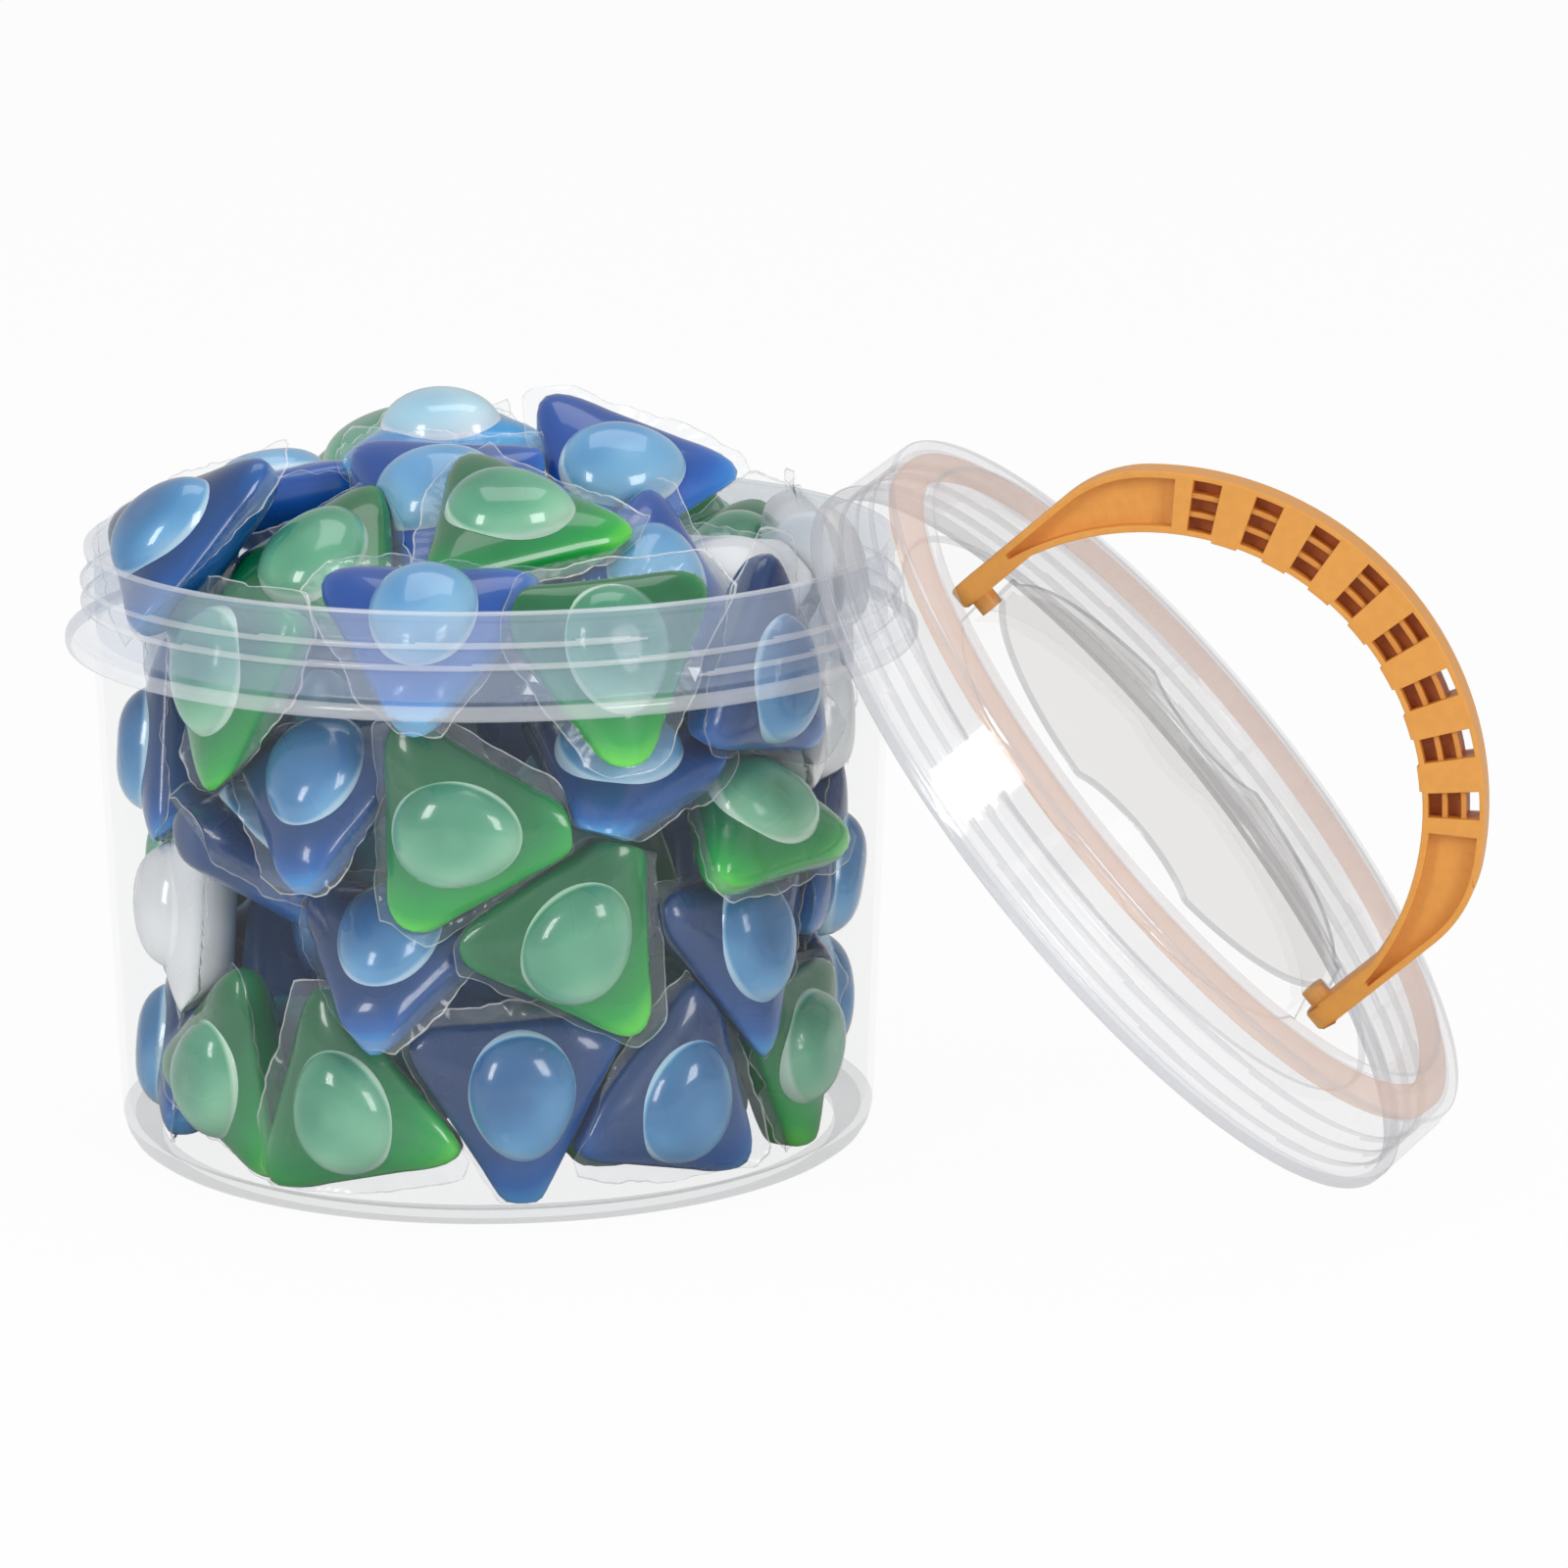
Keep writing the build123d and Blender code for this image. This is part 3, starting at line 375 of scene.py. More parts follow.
def plateau_edge(angle, height, inset):
    """Radius of the plateau's edge: the drafted wall, less the cone of a scoop where the angle's
    ray meets it, or the flat end of a pivot block. inset moves it in for the wall's inner side."""
    wall = PLATEAU - inset + DRAFT * (PLATEAU_TOP - height) / (PLATEAU_TOP - TROUGH_FLOOR)
    kink = math.sqrt(PLATEAU ** 2 - SCOOP_WIDTH ** 2)
    depth = kink - SCOOP_REACH
    cone = (SCOOP_WIDTH ** 2 + depth ** 2) / (2 * depth)
    centre = SCOOP_REACH + cone
    size = cone - (PLATEAU_TOP - height) * SCOOP_DRAFT + inset
    across = centre * np.sin(angle)
    met = (np.abs(across) < size) & (np.abs(np.cos(angle)) > 0.5)
    near = centre * np.abs(np.cos(angle)) - np.sqrt(np.clip(size ** 2 - across ** 2, 0, None))
    edge = np.where(met, np.minimum(wall, near), wall)
    flat = (PAD_REACH - inset) / np.maximum(np.abs(np.sin(angle)), 0.2)
    block = np.abs(flat * np.cos(angle)) < PAD_WIDTH - inset
    return np.where(block, flat, edge)


lid_turn = np.arange(LID_COLUMNS) * 2 * np.pi / LID_COLUMNS
print("plateau edge from", round(float(plateau_edge(lid_turn, PLATEAU_TOP, 0).min()), 2), "to",
      round(float(plateau_edge(lid_turn, PLATEAU_TOP, 0).max()), 2))

# %% [markdown]
# The lid's rings run from the middle of the plateau outwards and down to the open edge, then
# back on the underside. Rings that cross the plateau are shares of its edge radius, so they
# bend round the scoops and no face is cut.

# %% Lid rings
PADS, PAD_FIRST, PAD_ANGLE, PAD_SLOPE, PAD_PROUD = 8, 22.5, 29.5, 0.55, 0.5
INNER_START, INNER_PITCH, INNER_TURNS, INNER_DEPTH = 2.6, 3.9, 3.0, 1.15
INNER_FLANK, INNER_FADE = 0.6, 0.03


def ring_at(radius, height):
    """One flat ring: its radius at each angle, with the height beside it."""
    return np.stack([np.broadcast_to(radius, LID_COLUMNS), np.full(LID_COLUMNS, height)], -1)


def level_rings(shares, height, inset):
    """Flat rings at shares of the plateau's edge radius."""
    edge = plateau_edge(lid_turn, height, inset)
    return [ring_at(edge * s, height) for s in shares]


def wall_rings(heights, inset, drop):
    """Rings down the plateau's wall: the shape at each height, moved down by the wall's drop."""
    return [ring_at(plateau_edge(lid_turn, h, inset), h - drop) for h in heights]


def path_rings(path):
    """Round rings, one for each (radius, height) point."""
    return [ring_at(r, h) for r, h in path]


def grip_pads(angle, height, low, high):
    """Half a millimetre where one of eight pads covers the angle, faded at all four sides."""
    apart = 360 / PADS
    middle = (np.degrees(angle) - PAD_FIRST) % apart
    away = np.minimum(middle, apart - middle)
    side = np.clip((PAD_ANGLE / 2 - away) / PAD_SLOPE, 0, 1)
    ends = np.clip((height - low) / 0.5, 0, 1) * np.clip((high - height) / 0.5, 0, 1)
    return PAD_PROUD * side * ends


def inner_thread(angle, height):
    """The lid's own thread: three turns of a small ridge that stands inwards."""
    total = np.zeros(np.broadcast(angle, height).shape)
    for turn in range(-1, int(INNER_TURNS) + 1):
        along = (-angle % (2 * np.pi)) / (2 * np.pi) + turn
        middle = INNER_START + INNER_PITCH * along
        shape = np.clip(1.6 - np.abs(height - middle) / INNER_FLANK, 0, 1)
        ends = (np.clip(along / INNER_FADE, 0, 1)
                * np.clip((INNER_TURNS - along) / INNER_FADE, 0, 1))
        total = np.maximum(total, INNER_DEPTH * shape * ends)
    return total


# LINE and RIDGE paint edge shade: thin grey lines round the plateau and its foot, along the
# trough's, crest's and shoulder's corners, on the bead and on the inner thread, where a clear edge
# would bend the light.
SHEET, LINE, TROUGH, RIM, SKIRT, RIDGE = range(6)
rings, regions = [], []


def lay(region, new_rings):
    """Adds rings to the lid; the band from each of them to the next one has the region's finish."""
    rings.extend(new_rings)
    regions.extend([region] * len(new_rings))


lay(SHEET, level_rings([0.03, 0.1, 0.25, 0.5, 0.75, 0.9], PLATEAU_TOP, 0))
lay(LINE, level_rings([0.983], PLATEAU_TOP, 0))
lay(LINE, [r - np.array([0, d])
           for r, d in zip(level_rings([0.996, 1.0], PLATEAU_TOP, 0), (0.08, 0.3))])
lay(LINE, wall_rings([PLATEAU_TOP - 0.6], 0, 0))
lay(TROUGH, wall_rings(np.linspace(PLATEAU_TOP - 1.0, TROUGH_FLOOR + 0.6, 18), 0, 0))
foot_ring = plateau_edge(lid_turn, TROUGH_FLOOR, 0)
lay(LINE, [ring_at(foot_ring + 0.1, TROUGH_FLOOR + 0.2)])
lay(TROUGH, [ring_at(foot_ring + 0.6, TROUGH_FLOOR)])
outer_path = resampled(rounded([
    (TROUGH_START, TROUGH_FLOOR, 0), (TROUGH_OUT - DRAFT, TROUGH_FLOOR, 1.2),
    (TROUGH_OUT, PLATEAU_TOP, 1.2), (CREST_IN, CREST, 1.6), (CREST_OUT, CREST, 2.0),
    (SKIRT_TOP, SHOULDER, 1.6), (SKIRT_TOP + 0.02, SHOULDER - 1.0, 0)]), PATH_STEP)
edges = np.array([(TROUGH_OUT - DRAFT, TROUGH_FLOOR), (CREST_IN, CREST), (SKIRT_TOP, SHOULDER)])
for point in outer_path:
    by_edge = np.abs(point - edges).sum(1).min() < 1.0
    region = RIDGE if by_edge else TROUGH if point[0] < TROUGH_OUT + 0.5 else RIM
    lay(region, path_rings([point]))

# %% Lid skirt
SKIRT_ROWS, UNDER_ROWS, SKIRT_INSIDE = 44, 56, SKIRT_BASE - LID_WALL
skirt_heights = np.linspace(SHOULDER - 1.2, BEAD + 0.3, SKIRT_ROWS)
skirt_radii = SKIRT_BASE + (SKIRT_TOP - SKIRT_BASE) * (skirt_heights - BEAD) / (SHOULDER - BEAD)
for r, h in zip(skirt_radii, skirt_heights):
    lay(SKIRT, [ring_at(r + grip_pads(lid_turn, h, BEAD + 0.4, SHOULDER - 1.4), h)])
bead_path = rounded([
    (SKIRT_BASE, BEAD + 0.2, 0), (SKIRT_BASE, BEAD, 0.3), (LID, BEAD - 0.2, 0.4), (LID, 0, 0.7),
    (SKIRT_INSIDE, 0, 0.5), (SKIRT_INSIDE, 1.2, 0)])
lay(RIDGE, path_rings(bead_path[1:]))
print("rings on the outside:", len(rings))

# %% Lid underside
under_heights = np.linspace(1.4, SHOULDER - LID_WALL - 0.4, UNDER_ROWS)
under_radii = SKIRT_INSIDE + (SKIRT_TOP - SKIRT_BASE) * under_heights / SHOULDER
for r, h in zip(under_radii, under_heights):
    lay(SKIRT, [ring_at(r - inner_thread(lid_turn, h), h)])
under_path = rounded([
    (SKIRT_TOP - LID_WALL, SHOULDER - LID_WALL, 0), (CREST_OUT - 0.5, CREST - LID_WALL, 1.0),
    (CREST_IN + 0.75, CREST - LID_WALL, 1.0), (TROUGH_OUT + LID_WALL, PLATEAU_TOP - LID_WALL, 1.0),
    (TROUGH_OUT + LID_WALL - DRAFT, TROUGH_FLOOR - LID_WALL, 1.0),
    (TROUGH_START, TROUGH_FLOOR - LID_WALL, 0)])
for point in resampled(under_path, PATH_STEP):
    lay(TROUGH if point[0] < TROUGH_OUT + 2 else RIM, path_rings([point]))
foot_ring = plateau_edge(lid_turn, TROUGH_FLOOR, LID_WALL)
lay(TROUGH, [ring_at(foot_ring + 0.4, TROUGH_FLOOR - LID_WALL)])
lay(TROUGH, wall_rings(np.linspace(TROUGH_FLOOR, PLATEAU_TOP - 0.4, 14), LID_WALL, LID_WALL))
lay(SHEET, [r - np.array([0, LID_WALL])
            for r in level_rings([0.99, 0.95, 0.75, 0.5, 0.25, 0.1, 0.03], PLATEAU_TOP, LID_WALL)])
print("rings in all:", len(rings))

# %% Lid mesh
rings = np.array(rings)
radii, heights = rings[..., 0], rings[..., 1]
points, faces = capped(turned(radii, lid_turn, heights))
plain = SKIRT_BASE + (SKIRT_TOP - SKIRT_BASE) * (heights - BEAD) / (SHOULDER - BEAD)
raised = radii - plain
ring_regions = np.array(regions)[:, None]
# Pad edges take the milky crest finish as a painted highlight: thin white lines round each pad.
on_edge = (ring_regions == SKIRT) & (raised > 0.04) & (raised < PAD_PROUD - 0.04)
on_thread = (ring_regions == SKIRT) & (raised < -LID_WALL - 0.5)
grid_regions = np.where(on_edge, RIM, np.where(on_thread, RIDGE, ring_regions))
caps = np.full(2 * LID_COLUMNS, SHEET)
slots = np.concatenate([grid_regions[:-1].ravel(), caps])
lid = make_piece("lid_shell", [(leaning(points), faces, slots, 0.0)], list(clear.values()))
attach(lid, "tub_and_lid")
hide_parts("lid")
print("lid faces:", len(lid.data.polygons))

# %% [markdown]
# ## Seal and handle
# The seal keeps its CAD shape and gets a soft, slightly waxy finish. The handle's edges are
# rounded on the real part, because a sharp mould edge would cut the hand. A copy of the CAD mesh
# is merged into one skin first, and a small Bevel rounds its edges: an edge's weight is its share
# of the bevel's width. The faces stay triangles, because a bevel can fold a large face with many
# corners over itself.

# %% Seal finish
seal = nodes["seal_ring"]
seal.data.materials.clear()
seal.data.materials.append(soft_seal)

# %% Handle copy
HANDLE_OUT, PIVOT_HEIGHT, WINDOW_PITCH = 66.8, 12.6, math.radians(11.2)
WINDOW_IN, WINDOW_OUT, FACE_X, DEEP_X = 55.0, 66.3, 4.2, 1.2
FOOT_BELOW, FOOT_BESIDE, SHARP = -3.0, 52.2, math.radians(35)
ROUNDING, ROUND_END, ROUND_OUTSIDE, ROUND_REST = 1.8, 0.6, 0.18, 0.1
PIVOT = LID_CENTRE + PIVOT_HEIGHT * LID_N
skin = bmesh.new()
skin.from_mesh(nodes["handle"].data)
bmesh.ops.remove_doubles(skin, verts=skin.verts, dist=1e-6)
bmesh.ops.triangulate(skin, faces=skin.faces)
weight = skin.edges.layers.float.new("bevel_weight_edge")
depth = skin.verts.layers.float.new("depth")


def in_handle(point):
    """A point (metres) in the handle's own frame (mm): depth, along the pivot axis and height."""
    away = np.array(point) / MM - PIVOT
    return np.array([away @ LID_X, away @ LID_Y, away @ LID_N])


# The depth value paints shade into the windows: 0 on the handle's faces, rising to 1 deep inside,
# where the orange turns to its darker painted-shade colour.
for vertex in skin.verts:
    x, y, z = in_handle(vertex.co)
    in_shaded_window = (WINDOW_IN < math.hypot(y, z) < WINDOW_OUT
                 and abs(math.atan2(y, z)) < 4 * WINDOW_PITCH)
    share = (FACE_X - abs(x)) / (FACE_X - DEEP_X)
    vertex[depth] = min(1.0, max(0.0, share)) if in_shaded_window else 0.0
for edge in skin.edges:
    if edge.calc_face_angle(0.0) < SHARP:
        continue
    ends = [in_handle(v.co) for v in edge.verts]
    outside = all(abs(math.hypot(y, z) - HANDLE_OUT) < 0.1 and z > 20 for _, y, z in ends)
    at_foot = all(z < FOOT_BELOW and abs(y) > FOOT_BESIDE for _, y, z in ends)
    edge[weight] = ROUND_END if at_foot else ROUND_OUTSIDE if outside else ROUND_REST
print("handle vertices:", len(skin.verts), "edges:", len(skin.edges))

# %% [markdown]
# Seen from the photograph's side, the outer cell of five of the eight windows is closed like the
# two inner ones, so a thin web is added in each.

# %% Handle webs and rounding
WEB_IN, WEB_OUT, WEB_X, WEB_ANGLE = 62.9, 65.9, 0.6, math.radians(2.7)
BOX_FACES = ((0, 1, 2, 3), (7, 6, 5, 4), (0, 4, 5, 1), (1, 5, 6, 2), (2, 6, 7, 3), (3, 7, 4, 0))
for k in range(3, 8):
    middle = (k - 3.5) * WINDOW_PITCH
    start, end = middle - WEB_ANGLE, middle + WEB_ANGLE
    corners = []
    for x in (-WEB_X, WEB_X):
        for radius, angle in ((WEB_IN, start), (WEB_OUT, start), (WEB_OUT, end), (WEB_IN, end)):
            place = PIVOT + x * LID_X + radius * (math.sin(angle) * LID_Y + math.cos(angle) * LID_N)
            corners.append(skin.verts.new(place * MM))
            # Each web is painted the darkest orange, the painted shade of a deep cell.
            corners[-1][depth] = 1.0
    for face in BOX_FACES:
        skin.faces.new([corners[i] for i in face])
bmesh.ops.recalc_face_normals(skin, faces=skin.faces)
mesh = bpy.data.meshes.new("carry_handle")
skin.to_mesh(mesh)
skin.free()
handle = bpy.data.objects.new("carry_handle", mesh)
bpy.context.scene.collection.objects.link(handle)
mesh.materials.clear()
mesh.materials.append(orange_plastic)
bevel = handle.modifiers.new("soft edges", "BEVEL")
bevel.width = ROUNDING * MM
bevel.segments = 3
bevel.limit_method = "WEIGHT"
bevel.use_clamp_overlap = False
mesh.polygons.foreach_set("use_smooth", np.ones(len(mesh.polygons), bool))
mesh.set_sharp_from_angle(angle=SHARP)
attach(handle, "carry_handle")
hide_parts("handle")
print("handle faces:", len(mesh.polygons))

# %% [markdown]
# ## The pods
# A pod is two films of soluble plastic, sealed round a three-cornered seam and blown up with
# liquid: a deep tray below, a shallower crown above, and on the crown an egg-shaped dome that
# holds a second, paler liquid. Each CAD pod is the same shape with flat faces, squashed flat
# where it meets its neighbours. The place and turn of each are read back from its own mesh, so
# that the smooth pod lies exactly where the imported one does.

# %% CAD pod corners
POD, CORNER, TRAY, CROWN, MARGIN, SEAM = 20.5, 10.0, 9.5, 4.0, 4.0, 0.35
DOME_L, DOME_W, DOME_UP = 25.0, 20.0, 7.0


def cut_triangle(share, z, grow=0.0):
    """The six corners of the CAD pod's outline at one height."""
    points = []
    for k in range(3):
        a = math.pi / 2 + k * 2 * math.pi / 3
        for side in (-1, 1):
            reach, half = POD * share + grow, side * CORNER * share / 2
            points.append((reach * math.cos(a) - half * math.sin(a),
                           reach * math.sin(a) + half * math.cos(a), z))
    return points


def dome_corners(share, z):
    """The six corners of the CAD dome at one height."""
    a = np.radians(30 + 60 * np.arange(6))
    return [(share * DOME_W / 2 * math.cos(t), share * DOME_L / 2 * math.sin(t), z) for t in a]


template = np.array(cut_triangle(0.62, -TRAY) + cut_triangle(0.8, CROWN) + dome_corners(1, CROWN)
                    + dome_corners(0.5, CROWN + DOME_UP) + cut_triangle(1, -SEAM, MARGIN)
                    + cut_triangle(1, SEAM, MARGIN))
print("corners to match:", len(template))


# %% Reading a pod's place back from its mesh
PARALLEL, LEVEL_SLACK, CORNER_SLACK = 0.9999, 0.03, 0.08


def mesh_triangles(mesh):
    """Corner points (mm) of each triangle of a CAD node's mesh."""
    flat = np.zeros(len(mesh.vertices) * 3, np.float32)
    mesh.vertices.foreach_get("co", flat)
    loops = np.zeros(len(mesh.loops), np.int32)
    mesh.loops.foreach_get("vertex_index", loops)
    return (flat.reshape(-1, 3).astype(float) / MM)[loops].reshape(-1, 3, 3)


def face_planes(triangles):
    """The different planes of a mesh's triangles: unit normals, distances and total areas."""
    cross = np.cross(triangles[:, 1] - triangles[:, 0], triangles[:, 2] - triangles[:, 0])
    area = np.linalg.norm(cross, axis=1) / 2
    good = area > 1e-4
    normal = cross[good] / (2 * area[good])[:, None]
    distance = (normal * triangles[good][:, 0]).sum(1)
    keys = np.round(np.concatenate([normal * 200, distance[:, None] * 10], 1)).astype(int)
    _, first, group = np.unique(keys, axis=0, return_index=True, return_inverse=True)
    return normal[first], distance[first], np.bincount(group.ravel(), area[good])


def pod_axis(normal, distance, area):
    """The pod's axis, which most of its area faces, and the seam's height on it. The seam lies half
    way between the two film planes, and the tray, crown or dome top tells which way is up."""
    same = np.abs(normal @ normal.T) > PARALLEL
    axis = normal[(same * area).sum(1).argmax()]
    level = np.abs(normal @ axis) > PARALLEL
    levels = np.unique(np.round(distance[level] * np.sign(normal[level] @ axis), 2))
    apart = levels[None, :] - levels[:, None]
    for i, k in np.argwhere(np.abs(apart - 2 * SEAM) < LEVEL_SLACK):
        seam = (levels[i] + levels[k]) / 2
        for sign in (1, -1):
            rest = sign * (levels - seam)
            if any((np.abs(rest - z) < 0.05).any() for z in (-TRAY, CROWN, CROWN + DOME_UP)):
                return axis * sign, seam * sign
    return None


def match_turn(corners):
    """The centre and turn in the seam plane that put most template corners on a node's corners.
    Every pair of corners on one level is tried against every template pair as far apart. A point
    of the plane is one complex number, so a turn is a product."""
    best = (0, None)
    on_plane, all_want = corners[:, 0] + 1j * corners[:, 1], template[:, 0] + 1j * template[:, 1]
    for z in (CROWN, -TRAY, -SEAM, CROWN + DOME_UP):
        have = on_plane[np.abs(corners[:, 2] - z) < LEVEL_SLACK]
        want = all_want[np.abs(template[:, 2] - z) < LEVEL_SLACK]
        for i, k in np.argwhere(~np.eye(len(have), dtype=bool)):
            for a, b in np.argwhere(~np.eye(len(want), dtype=bool)):
                if abs(abs(have[i] - have[k]) - abs(want[a] - want[b])) > LEVEL_SLACK:
                    continue
                spin = (have[i] - have[k]) / (want[a] - want[b])
                spin /= abs(spin)
                centre = have[i] - spin * want[a]
                gaps = np.abs((spin * all_want + centre)[:, None] - on_plane[None, :])
                gaps += np.abs(template[:, 2][:, None] - corners[:, 2][None, :])
                score = int((gaps.min(1) < CORNER_SLACK).sum())
                if score > best[0]:
                    best = (score, (spin, centre))
    return best


def pod_place(mesh):
    """A pod's centre, its three axes as rows, the planes that squash it, and the match's score."""
    triangles = mesh_triangles(mesh)
    normal, distance, area = face_planes(triangles)
    found = pod_axis(normal, distance, area)
    if found is None:
        return None
    axis, seam = found
    level = np.cross(axis, [0.36, 0.48, 0.8])
    level /= np.linalg.norm(level)
    rows = np.array([level, np.cross(axis, level), axis])
    every = np.unique(np.round(triangles.reshape(-1, 3), 3), axis=0)
    local = every @ rows.T - [0, 0, seam]
    score, (spin, centre) = match_turn(local)
    origin = centre.real * rows[0] + centre.imag * rows[1] + seam * axis
    x_axis = spin.real * rows[0] + spin.imag * rows[1]
    rows = np.array([x_axis, np.cross(axis, x_axis), axis])
    beyond = (every @ normal.T - distance).max(0) < 0.002
    flat = np.abs(normal @ axis)
    side_angle = np.radians(30 + 60 * np.arange(6))
    sides = np.array([np.cos(side_angle), np.sin(side_angle)])
    rim = (flat < 0.001) & ((normal @ rows[:2].T @ sides).max(1) > PARALLEL)
    cuts = beyond & (flat < PARALLEL) & ~rim
    return origin, rows, normal[cuts] @ rows.T, distance[cuts] - normal[cuts] @ origin, score


pod_names = sorted(n for n in nodes if n.startswith("pod_"))
places = {n: pod_place(nodes[n].data) for n in pod_names}
scores = [places[n][4] if places[n] else 0 for n in pod_names]
print("pods:", len(pod_names), "lowest corner matches:", sorted(scores)[:6], "of", len(template))

# %% [markdown]
# The smooth pod is drawn in its own frame, with the seam at height 0 and one corner towards +Y.
# Its outline is a round-cornered triangle: at each angle the inverse radii of the three edges are
# raised to a power and added, and the higher the power, the tighter the corners. The tray below
# and the crown above are superellipses, which is how two welded films look when liquid fills
# them: steep at the seam and nearly flat in the middle.

# %% Pod outline
POD_COLUMNS, DOME_COLUMNS, FILM_COLUMNS = 72, 48, 120
GEL_SIDE, GEL_POWER, WAIST = 15.0, 3.3, 0.97
HEAP_TOP, CLEAR_OF_WALL, CLEAR_OF_FLOOR = 151.0, 0.3, 0.25
# GATHER is the fixed direction in which the pods' colour is painted brighter, a painted glow of the
# light that gathers in the gel.
GATHER = np.array([0.45, -0.15, -0.88])


def corner_share(angle):
    """1 towards a corner and 0 from 30 degrees away from it: the clipped cosine of three turns."""
    return np.clip(np.cos(3 * (angle - np.pi / 2)), 0, 1)


def triangle_reach(angle, side, power):
    """Radius of a round-cornered triangle: add (cosine to a side / the side's distance) ^ power for
    the three sides, and raise the sum to -1 / power."""
    total = np.zeros_like(angle)
    for k in range(3):
        away = np.clip(np.cos(angle - np.radians(30 + 120 * k)), 0, None)
        total += (away / side) ** power
    return total ** (-1 / power)


def gel_reach(angle):
    """The liquid's outline: its sides are drawn in a little where the film pulls them."""
    return triangle_reach(angle, GEL_SIDE, GEL_POWER) * (WAIST + (1 - WAIST) * corner_share(angle))


def squash(points, normal, distance, soft=1.4):
    """Moves points that pass a squashing plane back onto it, with a soft bend: a point keeps
    e - (e + soft)^2 / (4 soft) of its excess e between -soft and soft, and none beyond."""
    flat = points.reshape(-1, 3).copy()
    for n, d in zip(normal, distance):
        excess = flat @ n - d
        bent = np.where(excess > soft, 0.0, excess - (excess + soft) ** 2 / (4 * soft))
        flat -= np.where(excess > -soft, excess - bent, 0.0)[:, None] * n
    return flat.reshape(points.shape)


def inside_tub(points):
    """Moves points that reach the tub's wall, its floor or the space above the heap back inside."""
    points = points.copy()
    height = np.clip(points[..., 2], FLOOR + CLEAR_OF_FLOOR, HEAP_TOP)
    below = np.clip(FLOOR + INNER_CORNER - height, 0, INNER_CORNER)
    foot = BODY_BASE - WALL - below ** 2 / (2 * INNER_CORNER)
    room = foot + (NECK - BODY_BASE) * height / TUB_HEIGHT - CLEAR_OF_WALL
    reach = np.hypot(points[..., 0], points[..., 1])
    shrink = np.where((reach > room) & (height < TUB_HEIGHT + 3), room / np.maximum(reach, 1), 1.0)
    points[..., :2] *= shrink[..., None]
    points[..., 2] = height
    return points


print("pod outline from", round(float(gel_reach(np.radians([30.0]))[0]), 2), "to",
      round(float(gel_reach(np.radians([90.0]))[0]), 2), "mm")

# %% [markdown]
# Light that enters a pod gathers on its far side, so real gel is deep in the middle and glows in
# the thin corners and along the lower right. The depth attribute of each point paints both into the
# colour as a painted glow: how thin the liquid is there, and how far the point lies along the
# direction that light gathers in.

# %% Pod surfaces
TRAY_POWER, CROWN_POWER, BODY_UP = 2.6, 2.1, 5.4
EGG_HALF_WIDTH, EGG_HALF_LENGTH, EGG_TAPER, EGG_FOOT, EGG_UP = 10.9, 13.2, 0.15, 2.2, 7.8
FILM_SIDE, FILM_POWER, FILM_CORNER, HALF_FILM = 18.2, 14.0, 26.0, 0.07
FLUTTERS = ((2, 0.9), (3, 0.8), (5, 0.7), (8, 0.5), (13, 0.35), (21, 0.25), (31, 0.2))


def pillow_rings(gather):
    """Rings of the pod's body from the bottom of the tray to the top of the crown, with the value
    that its colour follows, a painted glow: 0 in the deep middle, 1 in thin corners and where light
    gathers."""
    angle = np.arange(POD_COLUMNS) * 2 * np.pi / POD_COLUMNS
    low = np.linspace(-1, 0, 13)[1:] * np.pi / 2
    high = np.linspace(0, 1, 12)[1:-1] * np.pi / 2
    tray, crown = 2 / TRAY_POWER, 2 / CROWN_POWER
    share = np.concatenate([np.cos(low) ** tray, np.cos(high) ** crown])[:, None]
    height = np.concatenate([-TRAY * np.abs(np.sin(low)) ** tray, BODY_UP * np.sin(high) ** crown])
    share[0] = max(share[0, 0], 0.1)
    rings = turned(share * gel_reach(angle), angle, height[:, None])
    thin = np.clip((share - 0.6) / 0.4, 0, 1) ** 1.5 * (0.35 + 0.65 * corner_share(angle) ** 2)
    along = rings @ gather / POD
    return rings, np.clip(0.1 + 0.5 * thin + 0.5 * along, 0, 1)


def dome_rings(gather, seed):
    """Rings of the egg dome from its foot in the crown to its top. Its value is 1 on the lowest
    rings, where two films meet, and above them it rises towards where light gathers, a painted
    glow."""
    random = np.random.default_rng(seed)
    angle = np.arange(DOME_COLUMNS) * 2 * np.pi / DOME_COLUMNS
    rise = np.linspace(0.0, 1.0, 14)[:-1] * np.pi / 2
    rise[1] = 0.05
    x = EGG_HALF_WIDTH * np.cos(angle) * (1 - EGG_TAPER * np.sin(angle))
    y = EGG_HALF_LENGTH * np.sin(angle)
    share = (np.cos(rise) ** 0.65)[:, None]
    height = (EGG_FOOT + EGG_UP * np.sin(rise) ** 1.1)[:, None]
    rings = np.stack(np.broadcast_arrays(share * x, share * y, height), -1)
    along = (rings - [0, 0, 6]) @ gather / 12.0
    swirl = 0.12 * np.sin(rings[..., 0] * 0.35 + random.uniform(0, 6)) * np.cos(rings[..., 1] * 0.3)
    value = np.clip(0.2 + 0.3 * share ** 3 + 0.4 * along + swirl, 0, 0.8)
    value[:4] = 1.0
    return rings, value


